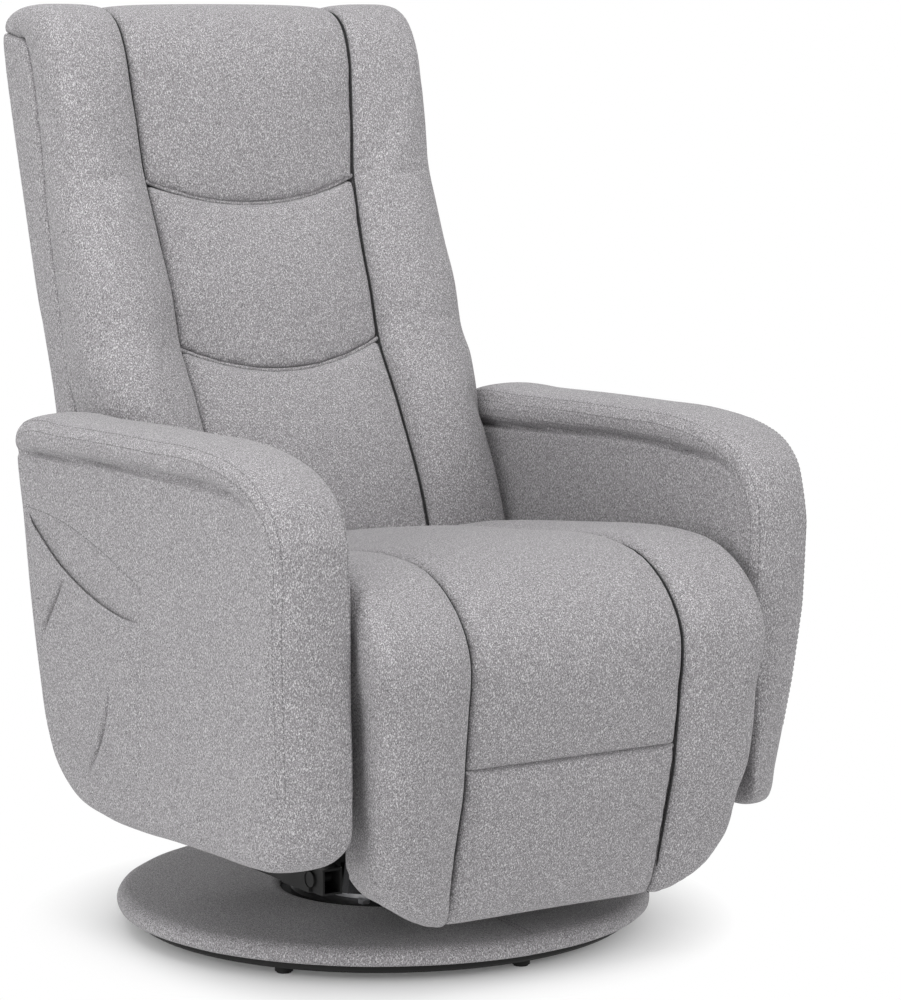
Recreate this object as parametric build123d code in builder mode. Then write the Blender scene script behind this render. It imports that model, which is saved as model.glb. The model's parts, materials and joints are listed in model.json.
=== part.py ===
from build123d import *
import os
from math import atan2, cos, degrees, radians, sin, sqrt

# A swivel recliner on a round upholstered base: box arms, a continuous quilted seat and leg rest
# in three panels, and a tall back in the same three panels. Millimetres, +Z up, front towards -Y.
# All fore-and-aft places are measured from the swivel axis, and "right" is the sitter's right.

# ---------------------------------------------------------------- clearances
AIR = 0.3            # between soft or flat neighbours
RUN = 0.1            # radial, round a pin, screw or spindle
PASS = 4.0           # between large pieces that move past each other

# ---------------------------------------------------------------- whole chair
AXIS_Y = -14.5       # the swivel axis, from the middle of the chair's depth
SEAT_HALF = 250.0    # half the seat's width; the frame, the back and the arms follow it
REST_HALF = SEAT_HALF - 3.0
ARM_IN = SEAT_HALF + 16.0        # inner and outer faces of the arms, from the middle
ARM_OUT = ARM_IN + 96.0
BACK_HALF = ARM_IN - PASS
SEAM_X = 138.0       # sewn valleys between the centre panel and the side rolls
SEAM_FLARE = 20.0    # how far the back's valleys spread towards the top

# ---------------------------------------------------------------- base
RING_R = 300.0       # the trim ring; the cover, the board and the feet follow it
RING_WIDTH = 62.0
RING_H = 11.0
FOOT_COUNT = 6
FOOT_FIRST = 33.4    # degrees
FOOT_PITCH_R = RING_R - 30.0
FOOT_R = 10.5
FOOT_H = 12.0
SCREW_R = 2.5
SCREW_HEAD_R = 5.0
SCREW_HEAD_H = 3.0
BOARD_R = RING_R + 6.0
BOARD_T = 15.0
COVER_R = RING_R + 18.0
COVER_T = 8.0
COVER_ROUND = 12.0
CORE_R = 124.0       # opening in the base cover round the swivel
PLATE_R = 112.0
PLATE_T = 4.0
PLATE_BOLT_R = 4.0
PLATE_BOLT_PITCH = 100.0
BOLT_HEAD_H = 5.0
SPINDLE_R = 14.0
COLLAR_R = 22.0
COLLAR_H = 8.0
RACE_PITCH_R = 70.0
RACE_HALF = 11.0
RACE_H = 6.0
RACE_GAP = 1.2
BALL_R = 4.0
BALL_COUNT = 24

# ---------------------------------------------------------------- chassis
TUBE_W = 25.0        # section of the rails
TUBE_H = 30.0
TUBE_WALL = 2.5
RAIL_IN = SEAT_HALF - 62.0       # inner faces of the chassis rails and of the seat rails
RISER_H = 40.0
RISER_HALF = 60.0
CROSS_Y = 75.0
CHASSIS_FRONT = -214.0
CHASSIS_REAR = 122.0
BRACKET_T = 4.0
BRACKET_W = 60.0
BRACKET_RISE = 105.0
BRACKET_LIP = 66.0
BRACKET_YS = (-160.0, 80.0)
ARM_BOLT_R = 4.0
ARM_BOLT_LIFT = 44.0

# ---------------------------------------------------------------- swing links
LINK_L = 200.0
LINK_LEAN = 11.0     # degrees, leaning back at rest
LINK_T = 5.0
LINK_HALF_W = 14.0
LINK_YS = (-190.0, 20.0)
PIN_R = 6.0

# ---------------------------------------------------------------- arms
ARM_CROWN = 18.0
ARM_ROUND = 12.0
ARM_PANEL_T = 18.0
ARM_SKIN = 8.0       # between the panel and the inner face
CREASE_REAR = (232.0, 562.0)     # the sewn crease under the arm's padded top
CREASE_MID = (-250.0, 568.0)
CREASE_TURN = (-322.0, 558.0)
CREASE_FRONT = (-374.0, 520.0)
POCKET_DEPTH = 7.0
POCKET_T = 3.0
POCKET_HEM = 5.0
POCKET_FRONT = -79.0
POCKET_LOW = 186.0
POCKET_RIM_FRONT = 399.0
POCKET_RIM_REAR = (196.0, 488.0)
POCKET_RIM_SAG = (75.0, 431.0)
POCKET_REAR_HIGH = (186.0, 400.0)
POCKET_REAR_LOW = (150.0, 254.0)
POCKET_CORNER = (106.0, 203.0)
POCKET_FOOT_REAR = 40.0

# ---------------------------------------------------------------- seat
BOARD_H = 20.0       # wooden boards of the seat
SEAT_FRONT = -302.0
SEAT_REAR = 104.0
SEAT_BOARD_W = 46.0
SEAT_RAIL_REAR = 165.0
SPRING_COUNT = 5
SPRING_PITCH = 80.0
SPRING_R = 1.8
SPRING_SWING = 18.0
SPRING_TURNS = 13
FELT_T = 3.0
CUSHION_ROUND = 14.0
ROLL_ROUND = 20.0
NOSE_R = 25.0

# ---------------------------------------------------------------- leg rest and its drive
REST_PIVOT = (-360.0, 432.0)
REST_TOP = (-322.0, 404.0)
REST_BOTTOM = (-266.0, 92.0)
REST_BOARD_T = 12.0
REST_BOARD_TOP = 335.0
REST_BOARD_LOW = 118.0
REST_BOARD_HALF = REST_HALF - 25.0
REST_SEAM_Z = 262.0
REST_PASS = 2.0      # behind the leg rest's pads when it hangs
HINGE_T = 2.4
HINGE_GAP = 0.2
HINGE_END_R = 10.0
HINGE_PIN_R = 4.0
CRANK_PIVOT = (-225.0, 290.0)
CRANK_TUBE_R = 9.0
CRANK_X = 99.0
BAR_T = 6.0
BAR_GAP = 0.5
BAR_HALF_W = 11.0
BAR_PIN_R = 5.0
EAR_Z = 285.0
EAR_REACH = 15.0
EAR_PLAY = 0.3       # radial, at the pivot where the drive's loop is left open

# ---------------------------------------------------------------- back
BACK_PIVOT = (150.0, 400.0)
BACK_LOW = 385.0
BACK_SLOPE = 0.268   # run per rise of the back's rear face
BACK_REAR_Y = 342.0  # where that face stands at the height below
BACK_REAR_Z = 604.0
REAR_COVER_T = 12.0
STILE_T = 25.0
BACK_FRAME_TOP = 1030.0
BACK_RAIL_H = 50.0
BACK_PLATE_T = 4.0
STILE_OUT = RAIL_IN + TUBE_W + BACK_PLATE_T + 0.5
BACK_PIN_R = 7.0
BACK_PLATE_R = 22.0
ROLL_LOW = 434.0
HEAD_SEAM_Z = 872.0
WAIST_SEAM_Z = 672.0
SEAM_SAG = 30.0
TRIM_TOP = 1200.0    # the trimming outlines reach past the back, above, below and fore and aft
TRIM_LOW = 300.0
TRIM_DEPTH = 600.0
WEB_COUNT = 6
WEB_W = 50.0
WEB_T = 2.0

# ---------------------------------------------------------------- worked out
RING_Z = FOOT_H
BOARD_Z = RING_Z + RING_H
PLATE_Z = BOARD_Z + BOARD_T
RACE_Z = PLATE_Z + PLATE_T
BALL_Z = RACE_Z + RACE_H + RACE_GAP / 2
UPPER_RACE_Z = RACE_Z + RACE_H + RACE_GAP
TURN_Z = UPPER_RACE_Z + RACE_H
RISER_Z = TURN_Z + PLATE_T
CHASSIS_Z = RISER_Z + RISER_H
CHASSIS_PIN_Z = CHASSIS_Z + TUBE_H / 2
RAIL_OUT = RAIL_IN + TUBE_W
LINK_SHIFT = LINK_L * sin(radians(LINK_LEAN))
SEAT_PIN_Z = CHASSIS_PIN_Z + LINK_L * cos(radians(LINK_LEAN))
SEAT_RAIL_Z = SEAT_PIN_Z - TUBE_H / 2
SEAT_BOARD_Z = SEAT_RAIL_Z + TUBE_H
FELT_Z = SEAT_BOARD_Z + BOARD_H
CUSHION_Z = FELT_Z + FELT_T
SLOT_HALF = HINGE_T + AIR
CENTRE_HALF = SEAM_X - SLOT_HALF
ROLL_IN = SEAM_X + SLOT_HALF
REST_SLOPE = (REST_BOTTOM[0] - REST_TOP[0]) / (REST_TOP[1] - REST_BOTTOM[1])
SHELF_Z = CHASSIS_Z + BRACKET_RISE
ARM_BOLT_Z = SHELF_Z + ARM_BOLT_LIFT
PANEL_IN = ARM_IN + ARM_SKIN
PANEL_OUT = PANEL_IN + ARM_PANEL_T

PIECES = {}
SMOOTH = None


def side_plane(x):
    """A plane seen from the chair's side: its own axes run back and up, from the swivel axis."""
    return Plane(origin=(x, AXIS_Y, 0), x_dir=(0, 1, 0), z_dir=(1, 0, 0))


def front_plane(y):
    """A plane seen from the front: its own axes run across and up."""
    return Plane(origin=(0, AXIS_Y + y, 0), x_dir=(1, 0, 0), z_dir=(0, -1, 0))


def floor_plane(z):
    """A level plane at a height, centred on the swivel axis."""
    return Plane(origin=(0, AXIS_Y, z), x_dir=(1, 0, 0), z_dir=(0, 0, 1))


def trace(start, *legs):
    """A closed outline. Each leg is one end point for a line, or a middle and an end for an arc.

    A middle that is SMOOTH makes the arc that runs on from the leg before without a corner.
    """
    here = start
    drawn = None
    for leg in legs:
        if len(leg) == 1:
            drawn = Line(here, leg[0])
        elif leg[0] is SMOOTH:
            drawn = TangentArc(here, leg[1], tangent=drawn % 1)
        else:
            drawn = ThreePointArc(here, leg[0], leg[1])
        here = leg[-1]
    if here != start:
        Line(here, start)


def slab(outline, inner, outer, mode=Mode.ADD):
    """An outline in side view, extruded across the chair between two distances from the middle."""
    with BuildSketch(side_plane(inner)) as face:
        with BuildLine():
            trace(*outline)
        make_face()
    extrude(face.sketch, amount=outer - inner, mode=mode)


def block(x_range, y_range, z_range, mode=Mode.ADD):
    """A box between limits, its fore-and-aft limits measured from the swivel axis."""
    with BuildSketch(floor_plane(z_range[0])) as face:
        with Locations(((x_range[0] + x_range[1]) / 2, (y_range[0] + y_range[1]) / 2)):
            Rectangle(abs(x_range[1] - x_range[0]), abs(y_range[1] - y_range[0]))
    extrude(face.sketch, amount=z_range[1] - z_range[0], mode=mode)


def rod(centre, radius, inner, outer, mode=Mode.ADD):
    """A round bar across the chair, its centre given in side view."""
    with BuildSketch(side_plane(inner)) as face:
        with Locations(centre):
            Circle(radius)
    extrude(face.sketch, amount=outer - inner, mode=mode)


def strap(start, end, half_width, inner, outer, hole_r, mode=Mode.ADD):
    """A flat bar with round ends and an eye at each end, in side view."""
    reach = sqrt((end[0] - start[0]) ** 2 + (end[1] - start[1]) ** 2)
    lean = degrees(atan2(end[1] - start[1], end[0] - start[0]))
    middle = ((start[0] + end[0]) / 2, (start[1] + end[1]) / 2)
    with BuildSketch(side_plane(inner)) as face:
        with Locations(Location((middle[0], middle[1], 0), (0, 0, lean))):
            SlotCenterToCenter(reach, 2 * half_width)
        with Locations(start, end):
            Circle(hole_r, mode=Mode.SUBTRACT)
    extrude(face.sketch, amount=outer - inner, mode=mode)


def keep(piece, name):
    """Label one finished piece and remember it for writing."""
    piece.label = name
    PIECES[name] = piece


def both(side_range):
    """The same range on the right side (negative x) and on the left."""
    inner, outer = side_range
    return ((-inner, -outer), (inner, outer))


def on_rest(z, out=0.0):
    """A point in side view on the leg rest's rear face at a height, or that far in front of it."""
    return (REST_TOP[0] + (REST_TOP[1] - z) * REST_SLOPE - out, z)


def on_back(z, inset=0.0):
    """A point in side view on the back's rear face at a height, or that far in front of it."""
    return (BACK_REAR_Y + (z - BACK_REAR_Z) * BACK_SLOPE - inset, z)


# ================================================================ base
def foot_places():
    """The feet stand on one circle."""
    return PolarLocations(FOOT_PITCH_R, FOOT_COUNT, start_angle=FOOT_FIRST)


with BuildPart() as glide_feet:
    with BuildSketch(floor_plane(0)):
        with foot_places():
            Circle(FOOT_R - 2)
    extrude(amount=2)
    with BuildSketch(floor_plane(2)):
        with foot_places():
            Circle(FOOT_R)
    extrude(amount=FOOT_H - 2)
    with BuildSketch(floor_plane(SCREW_HEAD_H)):
        with foot_places():
            Circle(SCREW_R + RUN)
    extrude(amount=FOOT_H, mode=Mode.SUBTRACT)
    with BuildSketch(floor_plane(0)):
        with foot_places():
            Circle(SCREW_HEAD_R + RUN)
    extrude(amount=SCREW_HEAD_H + 1, mode=Mode.SUBTRACT)
keep(glide_feet.part, "glide_feet")

with BuildPart() as foot_screws:
    with BuildSketch(floor_plane(1)):
        with foot_places():
            Circle(SCREW_HEAD_R)
    extrude(amount=SCREW_HEAD_H)
    with BuildSketch(floor_plane(1)):
        with foot_places():
            Circle(SCREW_R)
    extrude(amount=BOARD_Z + BOARD_T / 2 - 1)
keep(foot_screws.part, "foot_screws")

with BuildPart() as base_trim_ring:
    with BuildSketch(floor_plane(RING_Z)):
        Circle(RING_R)
        Circle(RING_R - RING_WIDTH, mode=Mode.SUBTRACT)
        with foot_places():
            Circle(SCREW_R + RUN, mode=Mode.SUBTRACT)
    extrude(amount=RING_H)
    chamfer(base_trim_ring.edges().group_by(Axis.Z)[0].sort_by(SortBy.LENGTH)[-1], 3)
keep(base_trim_ring.part, "base_trim_ring")

with BuildPart() as base_board:
    with BuildSketch(floor_plane(BOARD_Z)):
        Circle(BOARD_R)
        Circle(SPINDLE_R + 2, mode=Mode.SUBTRACT)
        with PolarLocations(PLATE_BOLT_PITCH, 4, start_angle=45):
            Circle(PLATE_BOLT_R + RUN, mode=Mode.SUBTRACT)
    extrude(amount=BOARD_T)
    with BuildSketch(floor_plane(BOARD_Z)):
        with foot_places():
            Circle(SCREW_R + RUN)
    extrude(amount=BOARD_T / 2 + 1, mode=Mode.SUBTRACT)
keep(base_board.part, "base_board")

with BuildPart() as base_cover:
    with BuildSketch(floor_plane(BOARD_Z)):
        Circle(COVER_R)
    extrude(amount=BOARD_T + COVER_T)
    fillet(base_cover.edges().group_by(Axis.Z)[-1], COVER_ROUND)
    with BuildSketch(floor_plane(BOARD_Z)):
        Circle(BOARD_R)
    extrude(amount=BOARD_T, mode=Mode.SUBTRACT)
    with BuildSketch(floor_plane(BOARD_Z)):
        Circle(CORE_R)
    extrude(amount=BOARD_T + 2 * COVER_T, mode=Mode.SUBTRACT)
    fillet(base_cover.edges().group_by(Axis.Z)[-1].sort_by(SortBy.LENGTH)[0], COVER_T / 2)
keep(base_cover.part, "base_cover")

with BuildPart() as swivel_base_plate:
    with BuildSketch(floor_plane(PLATE_Z)):
        Circle(PLATE_R)
        Circle(SPINDLE_R + RUN, mode=Mode.SUBTRACT)
        with PolarLocations(PLATE_BOLT_PITCH, 4, start_angle=45):
            Circle(PLATE_BOLT_R + RUN, mode=Mode.SUBTRACT)
    extrude(amount=PLATE_T)
keep(swivel_base_plate.part, "swivel_base_plate")

with BuildPart() as base_bolts:
    with BuildSketch(floor_plane(BOARD_Z)):
        with PolarLocations(PLATE_BOLT_PITCH, 4, start_angle=45):
            Circle(PLATE_BOLT_R)
    extrude(amount=BOARD_T + PLATE_T + 1)
    with BuildSketch(floor_plane(RACE_Z)):
        with PolarLocations(PLATE_BOLT_PITCH, 4, start_angle=45):
            RegularPolygon(PLATE_BOLT_R * 1.8, 6)
    extrude(amount=BOLT_HEAD_H)
keep(base_bolts.part, "base_bolts")

with BuildPart() as swivel_spindle:
    with BuildSketch(floor_plane(PLATE_Z)):
        Circle(SPINDLE_R)
    extrude(amount=RISER_Z - PLATE_Z + AIR + COLLAR_H + 4)
    with BuildSketch(floor_plane(RACE_Z)):
        Circle(SPINDLE_R * 2)
    extrude(amount=RACE_H)
    chamfer(swivel_spindle.edges().group_by(Axis.Z)[-1], 2)
keep(swivel_spindle.part, "swivel_spindle")

with BuildPart() as spindle_collar:
    with BuildSketch(floor_plane(RISER_Z + AIR)):
        Circle(COLLAR_R)
        Circle(SPINDLE_R + RUN / 2, mode=Mode.SUBTRACT)
    extrude(amount=COLLAR_H)
    chamfer(spindle_collar.edges().group_by(Axis.Z)[-1], 1.5)
keep(spindle_collar.part, "spindle_collar")


def race(z):
    """One race of the swivel bearing: a flat ring with a groove that the balls run in."""
    with BuildPart() as ring:
        with BuildSketch(floor_plane(z)):
            Circle(RACE_PITCH_R + RACE_HALF)
            Circle(RACE_PITCH_R - RACE_HALF, mode=Mode.SUBTRACT)
        extrude(amount=RACE_H)
        with BuildSketch(side_plane(0)):
            with Locations((RACE_PITCH_R, BALL_Z)):
                Circle(BALL_R + RUN)
        revolve(axis=Axis((0, AXIS_Y, 0), (0, 0, 1)), mode=Mode.SUBTRACT)
    return ring.part


keep(race(RACE_Z), "bearing_lower_race")

with BuildPart() as bearing_balls:
    with Locations((0, AXIS_Y, BALL_Z)):
        with PolarLocations(RACE_PITCH_R, BALL_COUNT):
            Sphere(BALL_R)
keep(bearing_balls.part, "bearing_balls")

# ================================================================ chassis, above the swivel
keep(race(UPPER_RACE_Z), "bearing_upper_race")


def hollow_box(x_range, y_range, z_range, along):
    """A rectangular tube open at both ends, along "x" or "y"."""
    skin = TUBE_WALL
    over = 1.0
    if along == "x":
        inner_x = (x_range[0] - over, x_range[1] + over)
        inner_y = (y_range[0] + skin, y_range[1] - skin)
    else:
        inner_x = (x_range[0] + skin, x_range[1] - skin)
        inner_y = (y_range[0] - over, y_range[1] + over)
    block(x_range, y_range, z_range)
    block(inner_x, inner_y, (z_range[0] + skin, z_range[1] - skin), mode=Mode.SUBTRACT)


with BuildPart() as turntable:
    with BuildSketch(floor_plane(TURN_Z)):
        Circle(PLATE_R)
        Circle(SPINDLE_R + RUN, mode=Mode.SUBTRACT)
    extrude(amount=PLATE_T)
    for y in (-CROSS_Y, CROSS_Y):
        hollow_box(
            (-RISER_HALF, RISER_HALF), (y - TUBE_H / 2, y + TUBE_H / 2), (RISER_Z, CHASSIS_Z), "x"
        )
keep(turntable.part, "turntable")

with BuildPart() as chassis_cross_tubes:
    for y in (-CROSS_Y, CROSS_Y):
        hollow_box(
            (-RAIL_IN, RAIL_IN), (y - TUBE_W / 2, y + TUBE_W / 2), (CHASSIS_Z, CHASSIS_Z + TUBE_H), "x"
        )
keep(chassis_cross_tubes.part, "chassis_cross_tubes")

with BuildPart() as chassis_rails:
    for low, high in ((-RAIL_OUT, -RAIL_IN), (RAIL_IN, RAIL_OUT)):
        hollow_box((low, high), (CHASSIS_FRONT, CHASSIS_REAR), (CHASSIS_Z, CHASSIS_Z + TUBE_H), "y")
    for y in LINK_YS:
        rod((y, CHASSIS_PIN_Z), PIN_R + RUN, -RAIL_OUT - 1, RAIL_OUT + 1, mode=Mode.SUBTRACT)
keep(chassis_rails.part, "chassis_rails")


def pivot_pins(places, first, last):
    """Headed pins across the chair at places in side view, on both sides."""
    with BuildPart() as pins:
        for inner, outer in both((first, last)):
            for place in places:
                rod(place, PIN_R, inner, outer)
                rod(place, PIN_R + 3, outer, outer * (1 + 3 / abs(outer)))
    return pins.part


chassis_pins = [(y, CHASSIS_PIN_Z) for y in LINK_YS]
seat_pins = [(y + LINK_SHIFT, SEAT_PIN_Z) for y in LINK_YS]
link_in = RAIL_IN - 1 - LINK_T
keep(pivot_pins(chassis_pins, link_in - 2, RAIL_OUT), "chassis_pivot_pins")

with BuildPart() as arm_brackets:
    for side in (-1, 1):
        for y in BRACKET_YS:
            with BuildSketch(front_plane(y - BRACKET_W / 2)):
                with BuildLine():
                    Polyline(
                        (side * RAIL_OUT, CHASSIS_Z),
                        (side * (RAIL_OUT + BRACKET_T), CHASSIS_Z),
                        (side * (RAIL_OUT + BRACKET_T), SHELF_Z - BRACKET_T),
                        (side * ARM_IN, SHELF_Z - BRACKET_T),
                        (side * ARM_IN, SHELF_Z + BRACKET_LIP),
                        (side * (ARM_IN - BRACKET_T), SHELF_Z + BRACKET_LIP),
                        (side * (ARM_IN - BRACKET_T), SHELF_Z),
                        (side * RAIL_OUT, SHELF_Z),
                        close=True,
                    )
                make_face()
            extrude(amount=-BRACKET_W)
            for offset in (-BRACKET_W / 4, BRACKET_W / 4):
                rod(
                    (y + offset, ARM_BOLT_Z),
                    ARM_BOLT_R + RUN,
                    side * (ARM_IN - BRACKET_T - 1),
                    side * (ARM_IN + 1),
                    mode=Mode.SUBTRACT,
                )
            rod(
                (LINK_YS[0] if y < 0 else LINK_YS[1], CHASSIS_PIN_Z),
                PIN_R + 3 + AIR,
                side * (RAIL_OUT - 1),
                side * (RAIL_OUT + BRACKET_T + 1),
                mode=Mode.SUBTRACT,
            )
keep(arm_brackets.part, "arm_brackets")

with BuildPart() as arm_bolts:
    for inner, outer in both((ARM_IN - BRACKET_T, PANEL_OUT - 2)):
        for y in BRACKET_YS:
            for offset in (-BRACKET_W / 4, BRACKET_W / 4):
                rod((y + offset, ARM_BOLT_Z), ARM_BOLT_R, inner, outer)
                head = inner * (1 - 4 / abs(inner))
                rod((y + offset, ARM_BOLT_Z), ARM_BOLT_R * 1.8, inner, head)
keep(arm_bolts.part, "arm_bolts")

# ---------------------------------------------------------------- arms
ARM_OUTLINE = (
    CREASE_FRONT,
    ((-374.0, 215.0),),
    ((-362.0, 184.0), (-332.0, 172.0)),
    ((34.0, 170.0),),
    ((118.0, 189.0), (166.0, 250.0)),
    ((207.0, 400.0), CREASE_REAR),
    (CREASE_MID,),
    (CREASE_TURN, CREASE_FRONT),
)
ARM_TOP_OUTLINE = (
    (CREASE_FRONT[0], CREASE_FRONT[1] + AIR),
    ((-358.0, 577.0), (-306.0, 609.0)),
    ((-250.0, 621.0), (-190.0, 606.0 + ARM_CROWN)),
    ((222.0, 589.0 + ARM_CROWN),),
    ((CREASE_REAR[0], CREASE_REAR[1] + AIR),),
    ((CREASE_MID[0], CREASE_MID[1] + AIR),),
    ((CREASE_TURN[0], CREASE_TURN[1] + AIR), (CREASE_FRONT[0], CREASE_FRONT[1] + AIR)),
)
PANEL_OUTLINE = (
    (-348.0, 200.0),
    ((-348.0, 520.0),),
    ((205.0, 535.0),),
    ((140.0, 252.0),),
    ((60.0, 200.0),),
)


def arm_cover(side):
    """The arm's upholstery below the crease, hollowed for the wooden panel."""
    with BuildPart() as cover:
        slab(ARM_OUTLINE, side * ARM_IN, side * ARM_OUT)
        rim = cover.edges().filter_by(Axis.X, reverse=True)
        lower = [edge for edge in rim if edge.center().Z < CREASE_TURN[1] - ARM_ROUND]
        fillet(lower, ARM_ROUND)
        slab(PANEL_OUTLINE, side * PANEL_IN, side * PANEL_OUT, mode=Mode.SUBTRACT)
        for y in BRACKET_YS:
            for offset in (-BRACKET_W / 4, BRACKET_W / 4):
                rod(
                    (y + offset, ARM_BOLT_Z),
                    ARM_BOLT_R + RUN,
                    side * (ARM_IN - 1),
                    side * (PANEL_IN + 1),
                    mode=Mode.SUBTRACT,
                )
    return cover.part


def arm_top(side):
    """The padded top of the arm, crowned between its two seams."""
    with BuildPart() as pad:
        slab(ARM_TOP_OUTLINE, side * ARM_IN, side * ARM_OUT)
        rim = pad.edges().filter_by(Axis.X, reverse=True)
        upper = [edge for edge in rim if edge.center().Z > CREASE_MID[1] + ARM_CROWN]
        fillet(upper, ARM_CROWN)
    return pad.part


for label, side in (("right", -1), ("left", 1)):
    keep(arm_cover(side), f"{label}_arm_cover")
    keep(arm_top(side), f"{label}_arm_top")

# The wooden panels inside the arms, drilled for the bracket bolts.
with BuildPart() as arm_panels:
    for near, far in both((PANEL_IN, PANEL_OUT)):
        slab(PANEL_OUTLINE, near, far)
    for y in BRACKET_YS:
        for offset in (-BRACKET_W / 4, BRACKET_W / 4):
            place = (y + offset, ARM_BOLT_Z)
            rod(place, ARM_BOLT_R + RUN, -PANEL_OUT - 1, PANEL_OUT + 1, mode=Mode.SUBTRACT)
keep(arm_panels.part, "arm_panels")

# The pocket on the outside of the right arm: a panel that stands off the arm, sewn on three sides.
with BuildPart() as right_arm_pocket:
    slab(
        (
            (POCKET_FRONT, POCKET_LOW),
            ((POCKET_FRONT, POCKET_RIM_FRONT),),
            (POCKET_RIM_SAG, POCKET_RIM_REAR),
            (POCKET_REAR_HIGH,),
            (POCKET_REAR_LOW,),
            (POCKET_CORNER, (POCKET_FOOT_REAR, POCKET_LOW)),
        ),
        -ARM_OUT,
        -ARM_OUT - POCKET_DEPTH - POCKET_T,
    )
    fillet(right_arm_pocket.edges().group_by(Axis.X)[0], POCKET_T - 0.5)
    slab(
        (
            (POCKET_FRONT + POCKET_HEM, POCKET_LOW + POCKET_HEM),
            ((POCKET_FRONT + POCKET_HEM, POCKET_RIM_FRONT + 150.0),),
            ((POCKET_RIM_REAR[0] - POCKET_HEM, POCKET_RIM_FRONT + 150.0),),
            ((POCKET_RIM_REAR[0] - POCKET_HEM, POCKET_RIM_REAR[1] - 2.0),),
            ((POCKET_REAR_HIGH[0] - POCKET_HEM, POCKET_REAR_HIGH[1]),),
            ((POCKET_REAR_LOW[0] - POCKET_HEM, POCKET_REAR_LOW[1] + POCKET_HEM),),
            (
                (POCKET_CORNER[0] - 2.0, POCKET_CORNER[1] + POCKET_HEM),
                (POCKET_FOOT_REAR, POCKET_LOW + POCKET_HEM),
            ),
        ),
        -ARM_OUT,
        -ARM_OUT - POCKET_DEPTH,
        mode=Mode.SUBTRACT,
    )
keep(right_arm_pocket.part, "right_arm_pocket")

# ================================================================ swing links


def swing_links(y):
    """A pair of links that carry the seat, one on each side."""
    with BuildPart() as links:
        for inner, outer in both((link_in, link_in + LINK_T)):
            strap(
                (y, CHASSIS_PIN_Z),
                (y + LINK_SHIFT, SEAT_PIN_Z),
                LINK_HALF_W,
                inner,
                outer,
                PIN_R + RUN,
            )
    return links.part


keep(swing_links(LINK_YS[0]), "front_links")
keep(swing_links(LINK_YS[1]), "rear_links")

# ================================================================ seat
with BuildPart() as seat_rails:
    for low, high in ((-RAIL_OUT, -RAIL_IN), (RAIL_IN, RAIL_OUT)):
        hollow_box((low, high), (SEAT_FRONT, SEAT_RAIL_REAR), (SEAT_RAIL_Z, SEAT_BOARD_Z), "y")
    for place in seat_pins:
        rod(place, PIN_R + RUN, -RAIL_OUT - 1, RAIL_OUT + 1, mode=Mode.SUBTRACT)
keep(seat_rails.part, "seat_rails")
keep(pivot_pins(seat_pins, link_in - 2, RAIL_OUT), "seat_pivot_pins")

with BuildPart() as seat_boards:
    for front in (SEAT_FRONT, SEAT_REAR - SEAT_BOARD_W):
        block((-RAIL_OUT, RAIL_OUT), (front, front + SEAT_BOARD_W), (SEAT_BOARD_Z, FELT_Z))
keep(seat_boards.part, "seat_boards")

spring_xs = [SPRING_PITCH * (i - (SPRING_COUNT - 1) / 2) for i in range(SPRING_COUNT)]
spring_front = SEAT_FRONT + SEAT_BOARD_W
spring_rear = SEAT_REAR - SEAT_BOARD_W
spring_z = FELT_Z - BOARD_H / 2
with BuildPart() as seat_springs:
    for x in spring_xs:
        step = (spring_rear - spring_front - 2 * AIR) / SPRING_TURNS
        corners = []
        for i in range(SPRING_TURNS):
            swing = SPRING_SWING / 2 * (1 if i % 2 else -1)
            corners.append((x + swing, spring_front + AIR + step * i))
            corners.append((x + swing, spring_front + AIR + step * (i + 1)))
        with BuildLine(floor_plane(spring_z)) as wire:
            FilletPolyline(*corners, radius=min(step, SPRING_SWING) * 0.45)
        with BuildSketch(Plane(wire.line @ 0, z_dir=wire.line % 0)) as section:
            Circle(SPRING_R)
        sweep(section.sketch, path=wire.line)
keep(seat_springs.part, "seat_springs")

with BuildPart() as seat_felt:
    block((-RAIL_OUT, RAIL_OUT), (SEAT_FRONT, SEAT_REAR), (FELT_Z, CUSHION_Z - AIR))
    for x in (-SEAM_X, SEAM_X):
        block((x - SLOT_HALF, x + SLOT_HALF), (SEAT_FRONT - 1, SEAT_FRONT + SEAT_BOARD_W),
              (FELT_Z - 1, CUSHION_Z), mode=Mode.SUBTRACT)
keep(seat_felt.part, "seat_felt")

# The seat's soft panels in side view. Their nose is round about the leg rest's pivot.
nose_low = REST_PIVOT[1] - NOSE_R
pad_inset = REST_BOARD_T


def on_nose(angle, gap=0.0):
    """A point on the round nose, at an angle measured up from straight back."""
    return (
        REST_PIVOT[0] + (NOSE_R + gap) * cos(radians(angle)),
        REST_PIVOT[1] + (NOSE_R + gap) * sin(radians(angle)),
    )


SEAT_WALL = (
    (on_nose(200.0), on_nose(270.0)),
    (on_rest(nose_low, pad_inset - REST_PASS),),
    (on_rest(CUSHION_Z, pad_inset - REST_PASS),),
)
SEAT_CENTRE = (
    (SEAT_REAR + 4, CUSHION_Z),
    ((SEAT_REAR + 4, 436.0),),
    ((SEAT_REAR - 10, 452.0), (50.0, 464.0)),
    ((-120.0, 487.0), (-290.0, 484.0)),
    (on_nose(112.0),),
) + SEAT_WALL
SEAT_ROLL = (
    (SEAT_REAR + 4, CUSHION_Z),
    ((SEAT_REAR + 4, 430.0),),
    ((SEAT_REAR - 12, 448.0), (40.0, 462.0)),
    ((-125.0, 490.0), (-285.0, 487.0)),
    (on_nose(108.0),),
) + SEAT_WALL


def pillow(outline, inner, outer, radius):
    """A soft panel: an outline across the chair, its sides drawn in by rounding all round."""
    with BuildPart() as panel:
        slab(outline, inner, outer)
        rim = panel.edges().filter_by(Axis.X, reverse=True)
        ends = [edge for edge in rim if min(abs(edge.center().X - x) for x in (inner, outer)) < 1]
        fillet(ends, radius)
    return panel.part


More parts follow.
